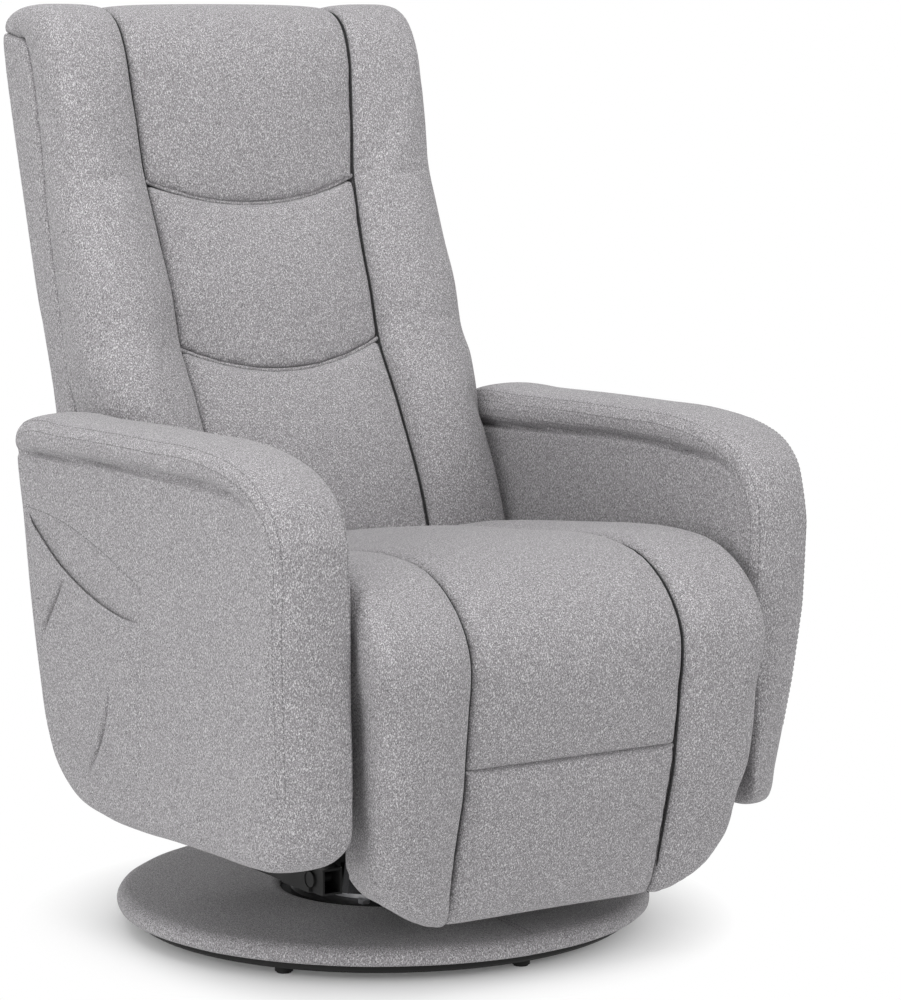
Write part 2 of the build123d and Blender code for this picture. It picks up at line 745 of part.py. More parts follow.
keep(pillow(SEAT_CENTRE, -CENTRE_HALF, CENTRE_HALF, CUSHION_ROUND), "seat_cushion")
for label, side in (("right", -1), ("left", 1)):
    keep(
        pillow(SEAT_ROLL, side * ROLL_IN, side * SEAT_HALF, ROLL_ROUND),
        f"{label}_seat_roll",
    )


def hinge_plates(outline, inner, outer):
    """A pair of thin plates in the sewn valleys, each with an eye at the leg rest's pivot."""
    with BuildPart() as plates:
        for near, far in both((inner, outer)):
            slab(outline, near, far)
            rod(REST_PIVOT, HINGE_END_R, near, far)
            rod(REST_PIVOT, HINGE_PIN_R + RUN, near - 1, far + 1, mode=Mode.SUBTRACT)
            rod(REST_PIVOT, HINGE_PIN_R + RUN, far - 1, near + 1, mode=Mode.SUBTRACT)
    return plates.part


pivot_y, pivot_z = REST_PIVOT
SEAT_PLATE = (
    (SEAT_FRONT + 2, FELT_Z),
    ((SEAT_FRONT + SEAT_BOARD_W - 4, FELT_Z),),
    ((pivot_y + 4, pivot_z + HINGE_END_R - 1),),
    ((pivot_y - HINGE_END_R + 1, pivot_z - 4),),
)
keep(
    hinge_plates(SEAT_PLATE, SEAM_X - HINGE_GAP / 2 - HINGE_T, SEAM_X - HINGE_GAP / 2),
    "seat_hinge_plates",
)
with BuildPart() as rest_hinge_pins:
    for near, far in both((SEAM_X - SLOT_HALF + RUN, SEAM_X + SLOT_HALF - RUN)):
        rod(REST_PIVOT, HINGE_PIN_R, near, far)
keep(rest_hinge_pins.part, "rest_hinge_pins")

crank_y, crank_z = CRANK_PIVOT
with BuildPart() as crank_bearings:
    for near, far in both((RAIL_IN - BRACKET_T, RAIL_IN)):
        slab(
            (
                (crank_y - 22, SEAT_BOARD_Z - 2),
                ((crank_y - 22, crank_z),),
                ((crank_y, crank_z - 22), (crank_y + 22, crank_z)),
                ((crank_y + 22, SEAT_BOARD_Z - 2),),
            ),
            near,
            far,
        )
    rod(CRANK_PIVOT, CRANK_TUBE_R + RUN, -RAIL_IN, RAIL_IN, mode=Mode.SUBTRACT)
keep(crank_bearings.part, "crank_bearings")

# ================================================================ leg rest
UPPER_PAD = (
    on_nose(205.0, AIR),
    (on_nose(237.0, AIR), on_nose(270.0, AIR)),
    (on_rest(nose_low - AIR, pad_inset),),
    (on_rest(REST_SEAM_Z + AIR, pad_inset),),
    ((-407.0, REST_SEAM_Z + AIR),),
    ((-420.0, 330.0), (-417.0, 392.0)),
    ((-409.0, 411.0), on_nose(205.0, AIR)),
)
LOWER_PAD = (
    (-407.0, REST_SEAM_Z - AIR),
    (on_rest(REST_SEAM_Z - AIR, pad_inset),),
    (on_rest(112.0, pad_inset),),
    ((-290.0, 95.0), (-314.0, 86.0)),
    (SMOOTH, (-374.0, 128.0)),
    (SMOOTH, (-407.0, REST_SEAM_Z - AIR)),
)
REST_ROLL = (
    on_nose(205.0, AIR),
    (on_nose(237.0, AIR), on_nose(270.0, AIR)),
    (on_rest(nose_low - AIR, pad_inset),),
    (on_rest(112.0, pad_inset),),
    ((-288.0, 94.0), (-308.0, 86.0)),
    (SMOOTH, (-354.0, 119.0)),
    (SMOOTH, (-405.0, 250.0)),
    (SMOOTH, (-428.0, 370.0)),
    (SMOOTH, (-410.0, 424.0)),
)
keep(pillow(UPPER_PAD, -CENTRE_HALF, CENTRE_HALF, CUSHION_ROUND), "rest_upper_pad")
keep(pillow(LOWER_PAD, -CENTRE_HALF, CENTRE_HALF, CUSHION_ROUND), "rest_lower_pad")
for label, side in (("right", -1), ("left", 1)):
    keep(
        pillow(REST_ROLL, side * ROLL_IN, side * REST_HALF, ROLL_ROUND),
        f"{label}_rest_roll",
    )

with BuildPart() as rest_board:
    slab(
        (
            on_rest(REST_BOARD_TOP),
            (on_rest(REST_BOARD_LOW),),
            (on_rest(REST_BOARD_LOW, REST_BOARD_T - AIR),),
            (on_rest(REST_BOARD_TOP, REST_BOARD_T - AIR),),
        ),
        -REST_BOARD_HALF,
        REST_BOARD_HALF,
    )
keep(rest_board.part, "rest_board")

REST_PLATE = (
    on_rest(REST_BOARD_TOP - 2, REST_BOARD_T),
    (on_rest(REST_BOARD_TOP - 90, REST_BOARD_T),),
    (on_rest(REST_BOARD_TOP - 90, REST_BOARD_T + 22),),
    ((pivot_y - HINGE_END_R + 1, pivot_z - 4),),
    ((pivot_y + HINGE_END_R - 1, pivot_z - 4),),
)
keep(
    hinge_plates(REST_PLATE, SEAM_X + HINGE_GAP / 2, SEAM_X + HINGE_GAP / 2 + HINGE_T),
    "rest_hinge_plates",
)

EAR = on_rest(EAR_Z, -EAR_REACH)
CRANK_END = (crank_y + EAR[0] - pivot_y, crank_z + EAR[1] - pivot_z)
ROD_IN = CRANK_X + BAR_T + BAR_GAP


def bar_pins(place):
    """Headed pins through the drive's bars, one on each side."""
    for near, far in both((CRANK_X, ROD_IN + BAR_T)):
        rod(place, BAR_PIN_R, near, far)
        rod(place, BAR_PIN_R + 3, far, far * (1 + 2 / abs(far)))


with BuildPart() as rest_ears:
    for near, far in both((CRANK_X, CRANK_X + BAR_T)):
        slab(
            (
                on_rest(EAR_Z + 20),
                (on_rest(EAR_Z - 20),),
                ((EAR[0], EAR[1] - BAR_HALF_W),),
                ((EAR[0] + BAR_HALF_W, EAR[1]), (EAR[0], EAR[1] + BAR_HALF_W)),
            ),
            near,
            far,
        )
    rod(EAR, BAR_PIN_R + RUN, -CRANK_X - BAR_T - 1, CRANK_X + BAR_T + 1, mode=Mode.SUBTRACT)
    bar_pins(EAR)
keep(rest_ears.part, "rest_ears")

# ---------------------------------------------------------------- the leg rest's drive
with BuildPart() as crank_tube:
    rod(CRANK_PIVOT, CRANK_TUBE_R, -RAIL_IN + AIR, RAIL_IN - AIR)
    rod(CRANK_PIVOT, CRANK_TUBE_R - TUBE_WALL, -RAIL_IN, RAIL_IN, mode=Mode.SUBTRACT)
keep(crank_tube.part, "crank_tube")
with BuildPart() as crank_arms:
    for near, far in both((CRANK_X, CRANK_X + BAR_T)):
        strap(CRANK_PIVOT, CRANK_END, BAR_HALF_W + 4, near, far, BAR_PIN_R + RUN)
        rod(CRANK_PIVOT, CRANK_TUBE_R + RUN / 2, near, far, mode=Mode.SUBTRACT)
    bar_pins(CRANK_END)
keep(crank_arms.part, "crank_arms")
with BuildPart() as push_rods:
    for near, far in both((ROD_IN, ROD_IN + BAR_T - RUN)):
        strap(CRANK_END, EAR, BAR_HALF_W, near, far, BAR_PIN_R + EAR_PLAY)
keep(push_rods.part, "push_rods")

# ================================================================ back
STILE_IN = STILE_OUT - STILE_T
FRAME_INSET = REAR_COVER_T + AIR
WEB_INSET = FRAME_INSET + STILE_T
PAD_INSET = WEB_INSET + WEB_T + AIR
hinge_y, hinge_z = BACK_PIVOT


def slanted(z_range, inset_range, inner, outer, mode=Mode.ADD):
    """A piece of the back between two heights and two depths in front of its rear face."""
    low, high = z_range
    rear, front = inset_range
    slab(
        (on_back(low, rear), (on_back(high, rear),), (on_back(high, front),), (on_back(low, front),)),
        inner,
        outer,
        mode=mode,
    )


with BuildPart() as back_stiles:
    for near, far in both((STILE_IN, STILE_OUT)):
        slanted((BACK_LOW, BACK_FRAME_TOP), (FRAME_INSET, WEB_INSET), near, far)
keep(back_stiles.part, "back_stiles")

with BuildPart() as back_cross_rails:
    highest = BACK_FRAME_TOP - BACK_RAIL_H
    for low in (BACK_LOW, (BACK_LOW + highest) / 2, highest):
        slanted((low, low + BACK_RAIL_H), (FRAME_INSET, WEB_INSET), -STILE_IN, STILE_IN)
keep(back_cross_rails.part, "back_cross_rails")

with BuildPart() as back_webbing:
    pitch = (BACK_FRAME_TOP - BACK_LOW - WEB_W - 20) / (WEB_COUNT - 1)
    for i in range(WEB_COUNT):
        low = BACK_LOW + 10 + pitch * i
        slanted((low, low + WEB_W), (WEB_INSET, WEB_INSET + WEB_T), -STILE_OUT, STILE_OUT)
keep(back_webbing.part, "back_webbing")


def back_plates(outline, inner, outer):
    """A pair of plates with an eye at the recline pivot."""
    with BuildPart() as plates:
        for near, far in both((inner, outer)):
            slab(outline, near, far)
            rod(BACK_PIVOT, BACK_PLATE_R, near, far)
        rod(BACK_PIVOT, BACK_PIN_R + RUN, -outer - 1, outer + 1, mode=Mode.SUBTRACT)
    return plates.part


SEAT_BACK_PLATE = (
    (SEAT_REAR - 4, SEAT_RAIL_Z + 2),
    ((SEAT_RAIL_REAR - 4, SEAT_RAIL_Z + 2),),
    ((hinge_y + BACK_PLATE_R - 2, hinge_z - 6),),
    ((hinge_y - BACK_PLATE_R + 2, hinge_z - 6),),
    ((SEAT_REAR - 4, SEAT_BOARD_Z - 2),),
)
keep(back_plates(SEAT_BACK_PLATE, RAIL_OUT, RAIL_OUT + BACK_PLATE_T), "seat_back_plates")
with BuildPart() as back_hinge_pins:
    for near, far in both((RAIL_OUT, STILE_OUT + BACK_PLATE_T)):
        rod(BACK_PIVOT, BACK_PIN_R, near, far)
        rod(BACK_PIVOT, BACK_PIN_R + 4, far, far * (1 + 3 / abs(far)))
keep(back_hinge_pins.part, "back_hinge_pins")

BACK_PLATE = (
    on_back(BACK_LOW + 1, FRAME_INSET + 2),
    (on_back(ROLL_LOW + 60, FRAME_INSET + 2),),
    (on_back(ROLL_LOW + 60, WEB_INSET - 2),),
    (on_back(ROLL_LOW - 2, WEB_INSET - 2),),
    ((hinge_y, hinge_z + BACK_PLATE_R),),
    ((hinge_y - 4, hinge_z - 15),),
    (on_back(BACK_LOW + 1, PAD_INSET + 10),),
)
keep(back_plates(BACK_PLATE, STILE_OUT, STILE_OUT + BACK_PLATE_T), "back_plates")

TRAY_IN = BACK_HALF - REAR_COVER_T
with BuildPart() as back_rear_cover:
    slanted((BACK_LOW, BACK_FRAME_TOP + 2), (0, PAD_INSET - AIR), -BACK_HALF, BACK_HALF)
    rear_edges = back_rear_cover.edges().filter_by(Axis.X, reverse=True).filter_by(
        lambda edge: abs(edge.center().Y - AXIS_Y - on_back(edge.center().Z)[0]) < 1
        and abs(edge.center().X) > BACK_HALF - 1
    )
    fillet(rear_edges, REAR_COVER_T)
    slanted(
        (BACK_LOW - 1, BACK_FRAME_TOP + 3), (REAR_COVER_T, PAD_INSET + 1), -TRAY_IN, TRAY_IN,
        mode=Mode.SUBTRACT,
    )
keep(back_rear_cover.part, "back_rear_cover")

# The back's soft panels in side view: a waist that stands forward, a long slope and a rolled head.
HEAD_REAR = (
    (SMOOTH, (456.0, 1062.0)),
    (on_back(BACK_FRAME_TOP + 4),),
    (on_back(BACK_FRAME_TOP + 4, PAD_INSET),),
)
BACK_ROLL = (
    (112.0, ROLL_LOW),
    ((114.0, 500.0), (134.0, 560.0)),
    (SMOOTH, (190.0, 662.0)),
    (SMOOTH, (240.0, 752.0)),
    (SMOOTH, (283.0, 925.0)),
    (SMOOTH, (316.0, 1033.0)),
    (SMOOTH, (400.0, 1088.0)),
) + HEAD_REAR + ((on_back(ROLL_LOW, PAD_INSET),),)
HEAD_PAD = (
    (282.0, 830.0),
    ((293.0, 895.0), (300.0, 950.0)),
    (SMOOTH, (322.0, 1035.0)),
    (SMOOTH, (400.0, 1089.0)),
) + HEAD_REAR + ((on_back(830.0, PAD_INSET),),)
MIDDLE_PAD = (
    (203.0, 632.0),
    ((246.0, 750.0), (296.0, 886.0)),
    (on_back(886.0, PAD_INSET),),
    (on_back(632.0, PAD_INSET),),
)
WAIST_PAD = (
    (116.0, BACK_LOW + 6),
    ((115.0, 450.0), (125.0, 503.0)),
    ((153.0, 556.0), (183.0, 608.0)),
    ((206.0, 648.0), (229.0, 692.0)),
    (on_back(690.0, PAD_INSET),),
    (on_back(BACK_LOW, PAD_INSET),),
    ((128.0, BACK_LOW),),
)


def flare(z):
    """How far the back's valleys have spread at a height."""
    return SEAM_FLARE * (z - ROLL_LOW) / (1090.0 - ROLL_LOW)


def back_panel(outline, low, high, sag_low, sag_high, radius):
    """A centre panel of the back: the outline trimmed in front view by curved seams."""
    half_low = CENTRE_HALF + flare(low)
    half_high = CENTRE_HALF + flare(high)
    with BuildPart() as panel:
        slab(outline, -CENTRE_HALF - 2 * SEAM_FLARE, CENTRE_HALF + 2 * SEAM_FLARE)
        with BuildSketch(front_plane(0)) as face:
            with BuildLine():
                Line((half_low, low), (half_high, high))
                if sag_high:
                    ThreePointArc((half_high, high), (0, high - sag_high), (-half_high, high))
                else:
                    Line((half_high, high), (-half_high, high))
                Line((-half_high, high), (-half_low, low))
                if sag_low:
                    ThreePointArc((-half_low, low), (0, low - sag_low), (half_low, low))
                else:
                    Line((-half_low, low), (half_low, low))
            make_face()
        extrude(face.sketch, amount=TRIM_DEPTH, both=True, mode=Mode.INTERSECT)
        sides = [
            edge for edge in panel.edges()
            if abs(edge.center().X) > CENTRE_HALF - 2 and edge.center().Z > low + 1
        ]
        fillet(sides, radius)
    return panel.part


keep(
    back_panel(HEAD_PAD, HEAD_SEAM_Z + AIR, TRIM_TOP, SEAM_SAG, 0, CUSHION_ROUND), "back_head_pad"
)
keep(
    back_panel(
        MIDDLE_PAD, WAIST_SEAM_Z + AIR, HEAD_SEAM_Z - AIR, SEAM_SAG, SEAM_SAG, CUSHION_ROUND
    ),
    "back_middle_pad",
)
keep(
    back_panel(WAIST_PAD, BACK_LOW - 20, WAIST_SEAM_Z - AIR, 0, SEAM_SAG, CUSHION_ROUND),
    "back_waist_pad",
)


def back_roll(side):
    """A side roll of the back, its inner side leaning outwards with the valley."""
    with BuildPart() as roll:
        slab(BACK_ROLL, side * ROLL_IN, side * BACK_HALF)
        rim = roll.edges().filter_by(Axis.X, reverse=True)
        fillet([edge for edge in rim if abs(edge.center().X) > BACK_HALF - 1], ROLL_ROUND)
        with BuildSketch(front_plane(0)) as face:
            with BuildLine():
                Polyline(
                    (side * (ROLL_IN - 10), TRIM_LOW),
                    (side * ROLL_IN, TRIM_LOW),
                    (side * (ROLL_IN + flare(ROLL_LOW)), ROLL_LOW),
                    (side * (ROLL_IN + flare(TRIM_TOP)), TRIM_TOP),
                    (side * (ROLL_IN - 10), TRIM_TOP),
                    close=True,
                )
            make_face()
        extrude(face.sketch, amount=TRIM_DEPTH, both=True, mode=Mode.SUBTRACT)
        inner = roll.faces().sort_by(Axis.X, reverse=side < 0)[0]
        fillet(inner.edges(), CUSHION_ROUND)
    return roll.part


for label, side in (("right", -1), ("left", 1)):
    keep(back_roll(side), f"{label}_back_roll")

os.makedirs("parts", exist_ok=True)
for name, piece in PIECES.items():
    export_step(piece, f"parts/{name}.step")
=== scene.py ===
import json
import math

import bmesh
import bpy
import numpy as np
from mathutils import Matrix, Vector


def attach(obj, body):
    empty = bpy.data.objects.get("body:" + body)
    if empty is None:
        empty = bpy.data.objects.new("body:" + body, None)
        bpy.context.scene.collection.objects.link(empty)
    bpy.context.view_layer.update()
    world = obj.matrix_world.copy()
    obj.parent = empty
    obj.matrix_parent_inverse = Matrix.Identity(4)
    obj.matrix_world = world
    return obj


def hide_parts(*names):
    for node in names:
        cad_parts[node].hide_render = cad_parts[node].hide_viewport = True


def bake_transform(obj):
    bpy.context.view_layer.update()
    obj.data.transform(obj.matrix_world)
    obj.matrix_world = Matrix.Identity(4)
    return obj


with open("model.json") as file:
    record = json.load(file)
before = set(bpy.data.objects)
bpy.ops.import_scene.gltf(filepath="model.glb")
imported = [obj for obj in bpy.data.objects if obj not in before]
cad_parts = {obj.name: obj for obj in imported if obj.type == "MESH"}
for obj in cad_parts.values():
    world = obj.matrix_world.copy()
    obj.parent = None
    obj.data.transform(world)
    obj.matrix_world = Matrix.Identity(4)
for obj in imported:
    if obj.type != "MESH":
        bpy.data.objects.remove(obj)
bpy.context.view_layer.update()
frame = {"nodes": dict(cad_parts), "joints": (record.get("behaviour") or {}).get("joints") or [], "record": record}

# A swivel recliner in grey heathered fabric. Outlines are in millimetres in side view: how far back
# of the swivel axis, and how high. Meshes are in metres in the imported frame, where the sitter
# faces -Y and "right" is the sitter's right, towards -X.
MM = 0.001
AXIS_Y = next(j for j in frame["joints"] if j["name"] == "swivel")["pos_m"][1]

# ===== sizes
SEAM_X = 141.0          # valleys between the centre panels and the side rolls
SEAM_GAP = 0.6          # from a valley to the panel on either side of it
SEAT_HALF = 250.0       # half the seat's width
BACK_HALF = 262.0       # half the back's width
ARM_IN = 266.0          # an arm's inner side
ARM_OUT = 362.0         # an arm's outer side
BASE_R = 318.0          # radius of the base's cover
CORE_R = 124.0          # opening in the base's cover round the swivel
REST_SEAM_Z = 262.0     # height of the cross seam on the leg rest
VOXEL = 6.0             # cell of the mesh that the fabric is simulated on
LAST_STEP = 20          # steps of cloth, after which the covers hardly move
SIDES = (("right", -1), ("left", 1))     # the sitter's side, and the sign of X there


# ===== outlines
def cubic(given, slopes, i, t, span=1.0):
    """The curve at a share t of the way from point i to the next.

    It is the cubic that meets both points with their slopes; span is the step between them.
    """
    return (
        (1 + 2 * t) * (1 - t) ** 2 * given[i]
        + t * (1 - t) ** 2 * span * slopes[i]
        + t * t * (3 - 2 * t) * given[i + 1]
        + t * t * (t - 1) * span * slopes[i + 1]
    )


def run_of(points):
    """How far along its line each point lies: the summed lengths of the steps before it."""
    return np.concatenate([[0.0], np.cumsum(np.linalg.norm(np.diff(points, axis=0), axis=1))])


def read_off(at, run, rows):
    """Rows that are given at run, read off at other places in straight lines between them."""
    return np.stack([np.interp(at, run, column) for column in rows.T], axis=-1)


def smooth_curve(points, count):
    """Evenly spaced points on a smooth curve through the given ones.

    Between two given points it is a cubic whose end slopes are the curve's mean slopes there.
    """
    given = np.array(points, float)
    knots = run_of(given)
    slopes = np.gradient(given, knots, axis=0)
    at = np.linspace(0.0, knots[-1], count * 12)
    i = np.clip(np.searchsorted(knots, at, side="right") - 1, 0, len(knots) - 2)
    span = (knots[i + 1] - knots[i])[:, None]
    dense = cubic(given, slopes, i, (at - knots[i])[:, None] / span, span)
    run = run_of(dense)
    return read_off(np.linspace(0.0, run[-1], count), run, dense)


def outward(curve):
    """Unit normals of a side-view curve that is drawn so that its outside is on its left."""
    ahead = np.gradient(curve, axis=0)
    normal = np.stack([-ahead[:, 1], ahead[:, 0]], axis=1)
    return normal / np.linalg.norm(normal, axis=1)[:, None]


def ease(x, low, high):
    """From 0 at low to 1 at high with level ends: three squares of the share less two cubes."""
    t = np.clip((x - low) / (high - low), 0.0, 1.0)
    return t * t * (3 - 2 * t)


def bell(x, middle, width):
    """A bump of height 1 about middle: e to minus the square of the distance in widths."""
    return np.exp(-(((x - middle) / width) ** 2))


# ===== meshes
def placed(points):
    """Points in millimetres, in the outlines' frame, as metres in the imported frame."""
    metres = np.array(points, float) * MM
    metres[:, 1] += AXIS_Y
    return metres


def mesh_piece(name, points, faces):
    """An object from points in millimetres, in the outlines' frame, and faces."""
    mesh = bpy.data.meshes.new(name)
    faces = faces if isinstance(faces, list) else faces.tolist()
    mesh.from_pydata(placed(points).tolist(), [], faces)
    mesh.validate()
    piece = bpy.data.objects.new(name, mesh)
    bpy.context.scene.collection.objects.link(piece)
    close_up(piece)
    return piece


def close_up(piece):
    """Join points that coincide, turn the faces outwards and shade them smooth."""
    build = bmesh.new()
    build.from_mesh(piece.data)
    bmesh.ops.remove_doubles(build, verts=build.verts, dist=0.02 * MM)
    bmesh.ops.recalc_face_normals(build, faces=build.faces)
    build.to_mesh(piece.data)
    build.free()
    piece.data.shade_smooth()


def grid_faces(rows, columns, wrap=False):
    """Quads over a grid of rows by columns, whose last column may join the first."""
    across = columns if wrap else columns - 1
    row, column = np.meshgrid(np.arange(rows - 1), np.arange(across), indexing="ij")
    here = (row * columns + column).ravel()
    beside = (row * columns + (column + 1) % columns).ravel()
    return np.stack([here, beside, beside + columns, here + columns], axis=1)


def box_surface(shape, counts):
    """The six sides of a unit box, carried by shape(u, v, w) into points; u, v, w run 0 to 1."""
    points = []
    faces = []
    total = 0
    for fixed in range(3):
        free = [k for k in range(3) if k != fixed]
        for end in (0.0, 1.0):
            a, b = np.meshgrid(*(np.linspace(0, 1, counts[k]) for k in free), indexing="ij")
            uvw = [None, None, None]
            uvw[fixed] = np.full(a.size, end)
            uvw[free[0]] = a.ravel()
            uvw[free[1]] = b.ravel()
            points.append(shape(*uvw))
            faces.append(grid_faces(counts[free[0]], counts[free[1]]) + total)
            total += a.size
    return np.concatenate(points), np.concatenate(faces)


def rings_round(spots, ahead, helper, girth, sides):
    """Rings square to the way ahead round each spot: girth times cosine and sine of the turn."""
    side = np.cross(ahead, helper)
    side = side / np.linalg.norm(side, axis=-1, keepdims=True)
    other = np.cross(ahead, side)
    turn = np.linspace(0, 2 * np.pi, sides, endpoint=False)[:, None]
    out = np.cos(turn) * side[..., None, :] + np.sin(turn) * other[..., None, :]
    return spots[..., None, :] + np.asarray(girth)[..., None, None] * out


def fan_faces(ring, tip, flip=False):
    """Triangles from each pair of neighbours on a ring to a tip."""
    beside = np.roll(ring, -1)
    pair = [beside, ring] if flip else [ring, beside]
    return np.column_stack([*pair, np.full(len(ring), tip)]).tolist()


def tube(name, path, radius, sides=8):
    """A round cord along points in millimetres: a ring square to the path at each, and two tips."""
    path = np.array(path, float)
    ahead = np.concatenate([path[1:], path[-1:]]) - np.concatenate([path[:1], path[:-1]])
    ahead /= np.linalg.norm(ahead, axis=1)[:, None]
    helper = np.where(np.abs(ahead[:, :1]) < 0.8, [[1.0, 0.0, 0.0]], [[0.0, 0.0, 1.0]])
    rings = rings_round(path, ahead, helper, radius, sides)
    points = np.concatenate([rings.reshape(-1, 3), path[:1], path[-1:]])
    ring = np.arange(sides)
    tips = len(path) * sides
    faces = grid_faces(len(path), sides, wrap=True).tolist()
    faces += fan_faces(ring, tips, flip=True) + fan_faces(ring + tips - sides, tips + 1)
    return mesh_piece(name, points, faces)


# ===== stuffing
def points_of(piece):
    """A mesh's points in millimetres, in the outlines' frame."""
    flat = np.empty(len(piece.data.vertices) * 3)
    piece.data.vertices.foreach_get("co", flat)
    points = flat.reshape(-1, 3) / MM
    points[:, 1] -= AXIS_Y / MM
    return points


def normals_of(piece):
    """The unit normals of a mesh's points."""
    flat = np.empty(len(piece.data.vertices) * 3)
    piece.data.vertex_normals.foreach_get("vector", flat)
    return flat.reshape(-1, 3)


def put_points(piece, points):
    """Move a mesh's points to places in millimetres, in the outlines' frame."""
    piece.data.vertices.foreach_set("co", placed(points).ravel())
    piece.data.update()


def apply_modifier(piece, modifier):
    """Apply one modifier to its piece."""
    with bpy.context.temp_override(object=piece, active_object=piece):
        bpy.ops.object.modifier_apply(modifier=modifier.name)


def relaxed(piece, rounds):
    """Move each point half way to its neighbours' mean, so many times over."""
    relaxing = piece.modifiers.new("relax", "SMOOTH")
    relaxing.factor = 0.5
    relaxing.iterations = rounds
    apply_modifier(piece, relaxing)


def remeshed(piece, voxel=VOXEL, rounds=3):
    """Even square cells all over, a little relaxed."""
    remesh = piece.modifiers.new("cells", "REMESH")
    remesh.mode = "VOXEL"
    remesh.voxel_size = voxel * MM
    apply_modifier(piece, remesh)
    relaxed(piece, rounds)


def refine(piece):
    """Relax a swollen mesh and refine it once."""
    relaxed(piece, 4)
    finer = piece.modifiers.new("finer", "SUBSURF")
    finer.levels = 1
    finer.render_levels = 1
    apply_modifier(piece, finer)
    piece.data.shade_smooth()


# How heavy and stiff a cover's cloth is, and how hard its filling presses from inside.
COVER_CLOTH = {
    "quality": 3,
    "mass": 0.3,
    "tension_stiffness": 12,
    "compression_stiffness": 12,
    "shear_stiffness": 4,
    "bending_stiffness": 1.5,
    "use_pressure": True,
    "uniform_pressure_force": 4.0,
}
GRIP_STEPS = 10         # levels of hold between free and fully sewn
COVERS = []             # each cover that blow_up fills: piece, cloth, points before, furthest move


def stuffed(piece, held, most):
    """Set the piece to be blown up as a sewn cover round its filling.

    The cover is cloth with pressure inside. A point is held by the largest of the given rules, each
    0 to 1. No point moves further than most millimetres.
    """
    remeshed(piece)
    before = points_of(piece)
    hold = np.clip(np.maximum.reduce([rule(before) for rule in held]), 0.0, 1.0)
    group = piece.vertex_groups.new(name="sewn")
    for step in range(1, GRIP_STEPS + 1):
        chosen = np.nonzero(np.round(hold * GRIP_STEPS) == step)[0]
        group.add(chosen.tolist(), step / GRIP_STEPS, "REPLACE")
    cloth = piece.modifiers.new("cover", "CLOTH")
    for key, value in COVER_CLOTH.items():
        setattr(cloth.settings, key, value)
    cloth.settings.vertex_group_mass = group.name
    cloth.settings.effector_weights.gravity = 0.0
    COVERS.append((piece, cloth, before, most))


def blow_up():
    """Run the cloth of all the covers together and keep the shapes that it ends in.

    A point's move is shortened to the cover's furthest move where it is longer.
    """
    scene = bpy.context.scene
    if COVERS:
        for step in range(1, LAST_STEP + 1):
            scene.frame_set(step)
    for piece, cloth, _, _ in COVERS:
        apply_modifier(piece, cloth)
    scene.frame_set(1)
    for piece, _, before, most in COVERS:
        piece.vertex_groups.clear()
        move = points_of(piece) - before
        reach = np.linalg.norm(move, axis=1)[:, None]
        move *= np.minimum(1.0, most / np.maximum(reach, 1e-6))
        put_points(piece, before + move)
        refine(piece)


# ===== shader maths
class Socket:
    """A shader value or colour, with Python's operators as Math nodes."""

    def __init__(self, tree, link):
        self.tree = tree
        self.link = link

    def math(self, operation, other):
        """A Math node of this value and another."""
        return self.tree.node("ShaderNodeMath", {"operation": operation}, {0: self, 1: other})

    def __add__(self, other):
        return self.math("ADD", other)

    def __sub__(self, other):
        return self.math("SUBTRACT", other)

    def __mul__(self, other):
        return self.math("MULTIPLY", other)

    def __rsub__(self, other):
        return self.tree.node("ShaderNodeMath", {"operation": "SUBTRACT"}, {0: other, 1: self})

    __radd__ = __add__
    __rmul__ = __mul__

    def clamp(self, low, high):
        """0 up to low, 1 from high, and a straight line between."""
        return self.tree.node(
            "ShaderNodeMapRange",
            {"clamp": True},
            {"Value": self, "From Min": low, "From Max": high, "To Min": 0.0, "To Max": 1.0},
        )


class Finish:
    """A material under construction: a principled shader and the nodes that feed it."""

    def __init__(self, name):
        self.material = bpy.data.materials.new(name)
        self.material.use_nodes = True
        self.nodes = self.material.node_tree.nodes
        self.links = self.material.node_tree.links
        self.shader = self.nodes["Principled BSDF"]

    def put(self, socket, value):
        """Link a socket to a value worked out by nodes, or set it to a plain one."""
        if isinstance(value, Socket):
            self.links.new(value.link, socket)
        elif isinstance(value, tuple) and len(value) == 3 and socket.type == "RGBA":
            socket.default_value = (*value, 1.0)
        else:
            socket.default_value = value

    def node(self, kind, settings, sockets, output=0):
        """A node of any kind: its settings first, then what its sockets hold."""
        made = self.nodes.new(kind)
        for key, value in settings.items():
            setattr(made, key, value)
        for key, value in sockets.items():
            self.put(made.inputs[key], value)
        return Socket(self, made.outputs[output])

    def place(self, scale=(1.0, 1.0, 1.0), turn=(0.0, 0.0, 0.0)):
        """Where a point is on the piece, in metres, stretched and turned."""
        spot = self.node("ShaderNodeTexCoord", {}, {}, output="Object")
        sockets = {"Vector": spot, "Scale": scale, "Rotation": turn}
        return self.node("ShaderNodeMapping", {}, sockets)

    def noise(self, scale, detail=2.0, rough=0.5, at=None):
        """Smooth noise of so many cells to a metre."""
        at = at or self.place()
        sockets = {"Vector": at, "Scale": scale, "Detail": detail, "Roughness": rough}
        return self.node("ShaderNodeTexNoise", {}, sockets)

    def mix(self, share, first, second):
        """The first colour where share is 0 and the second where it is 1."""
        return self.node(
            "ShaderNodeMix", {"data_type": "RGBA"}, {0: share, 6: first, 7: second}, output=2
        )

    def bump(self, height, strength, distance):
        """Normals tilted as if the surface stood out by height times distance, in metres."""
        return self.node(
            "ShaderNodeBump", {}, {"Height": height, "Strength": strength, "Distance": distance}
        )

    def done(self, **sockets):
        """The material, with the principled shader's sockets set or linked."""
        for key, value in sockets.items():
            name = key.replace("_", " ").title().replace("Ior", "IOR")
            self.put(self.shader.inputs[name], value)
        return self.material


def tinted(colour, gain, lift=0.0):
    """A colour with every channel times gain plus lift."""
    return tuple(c * gain + lift for c in colour)


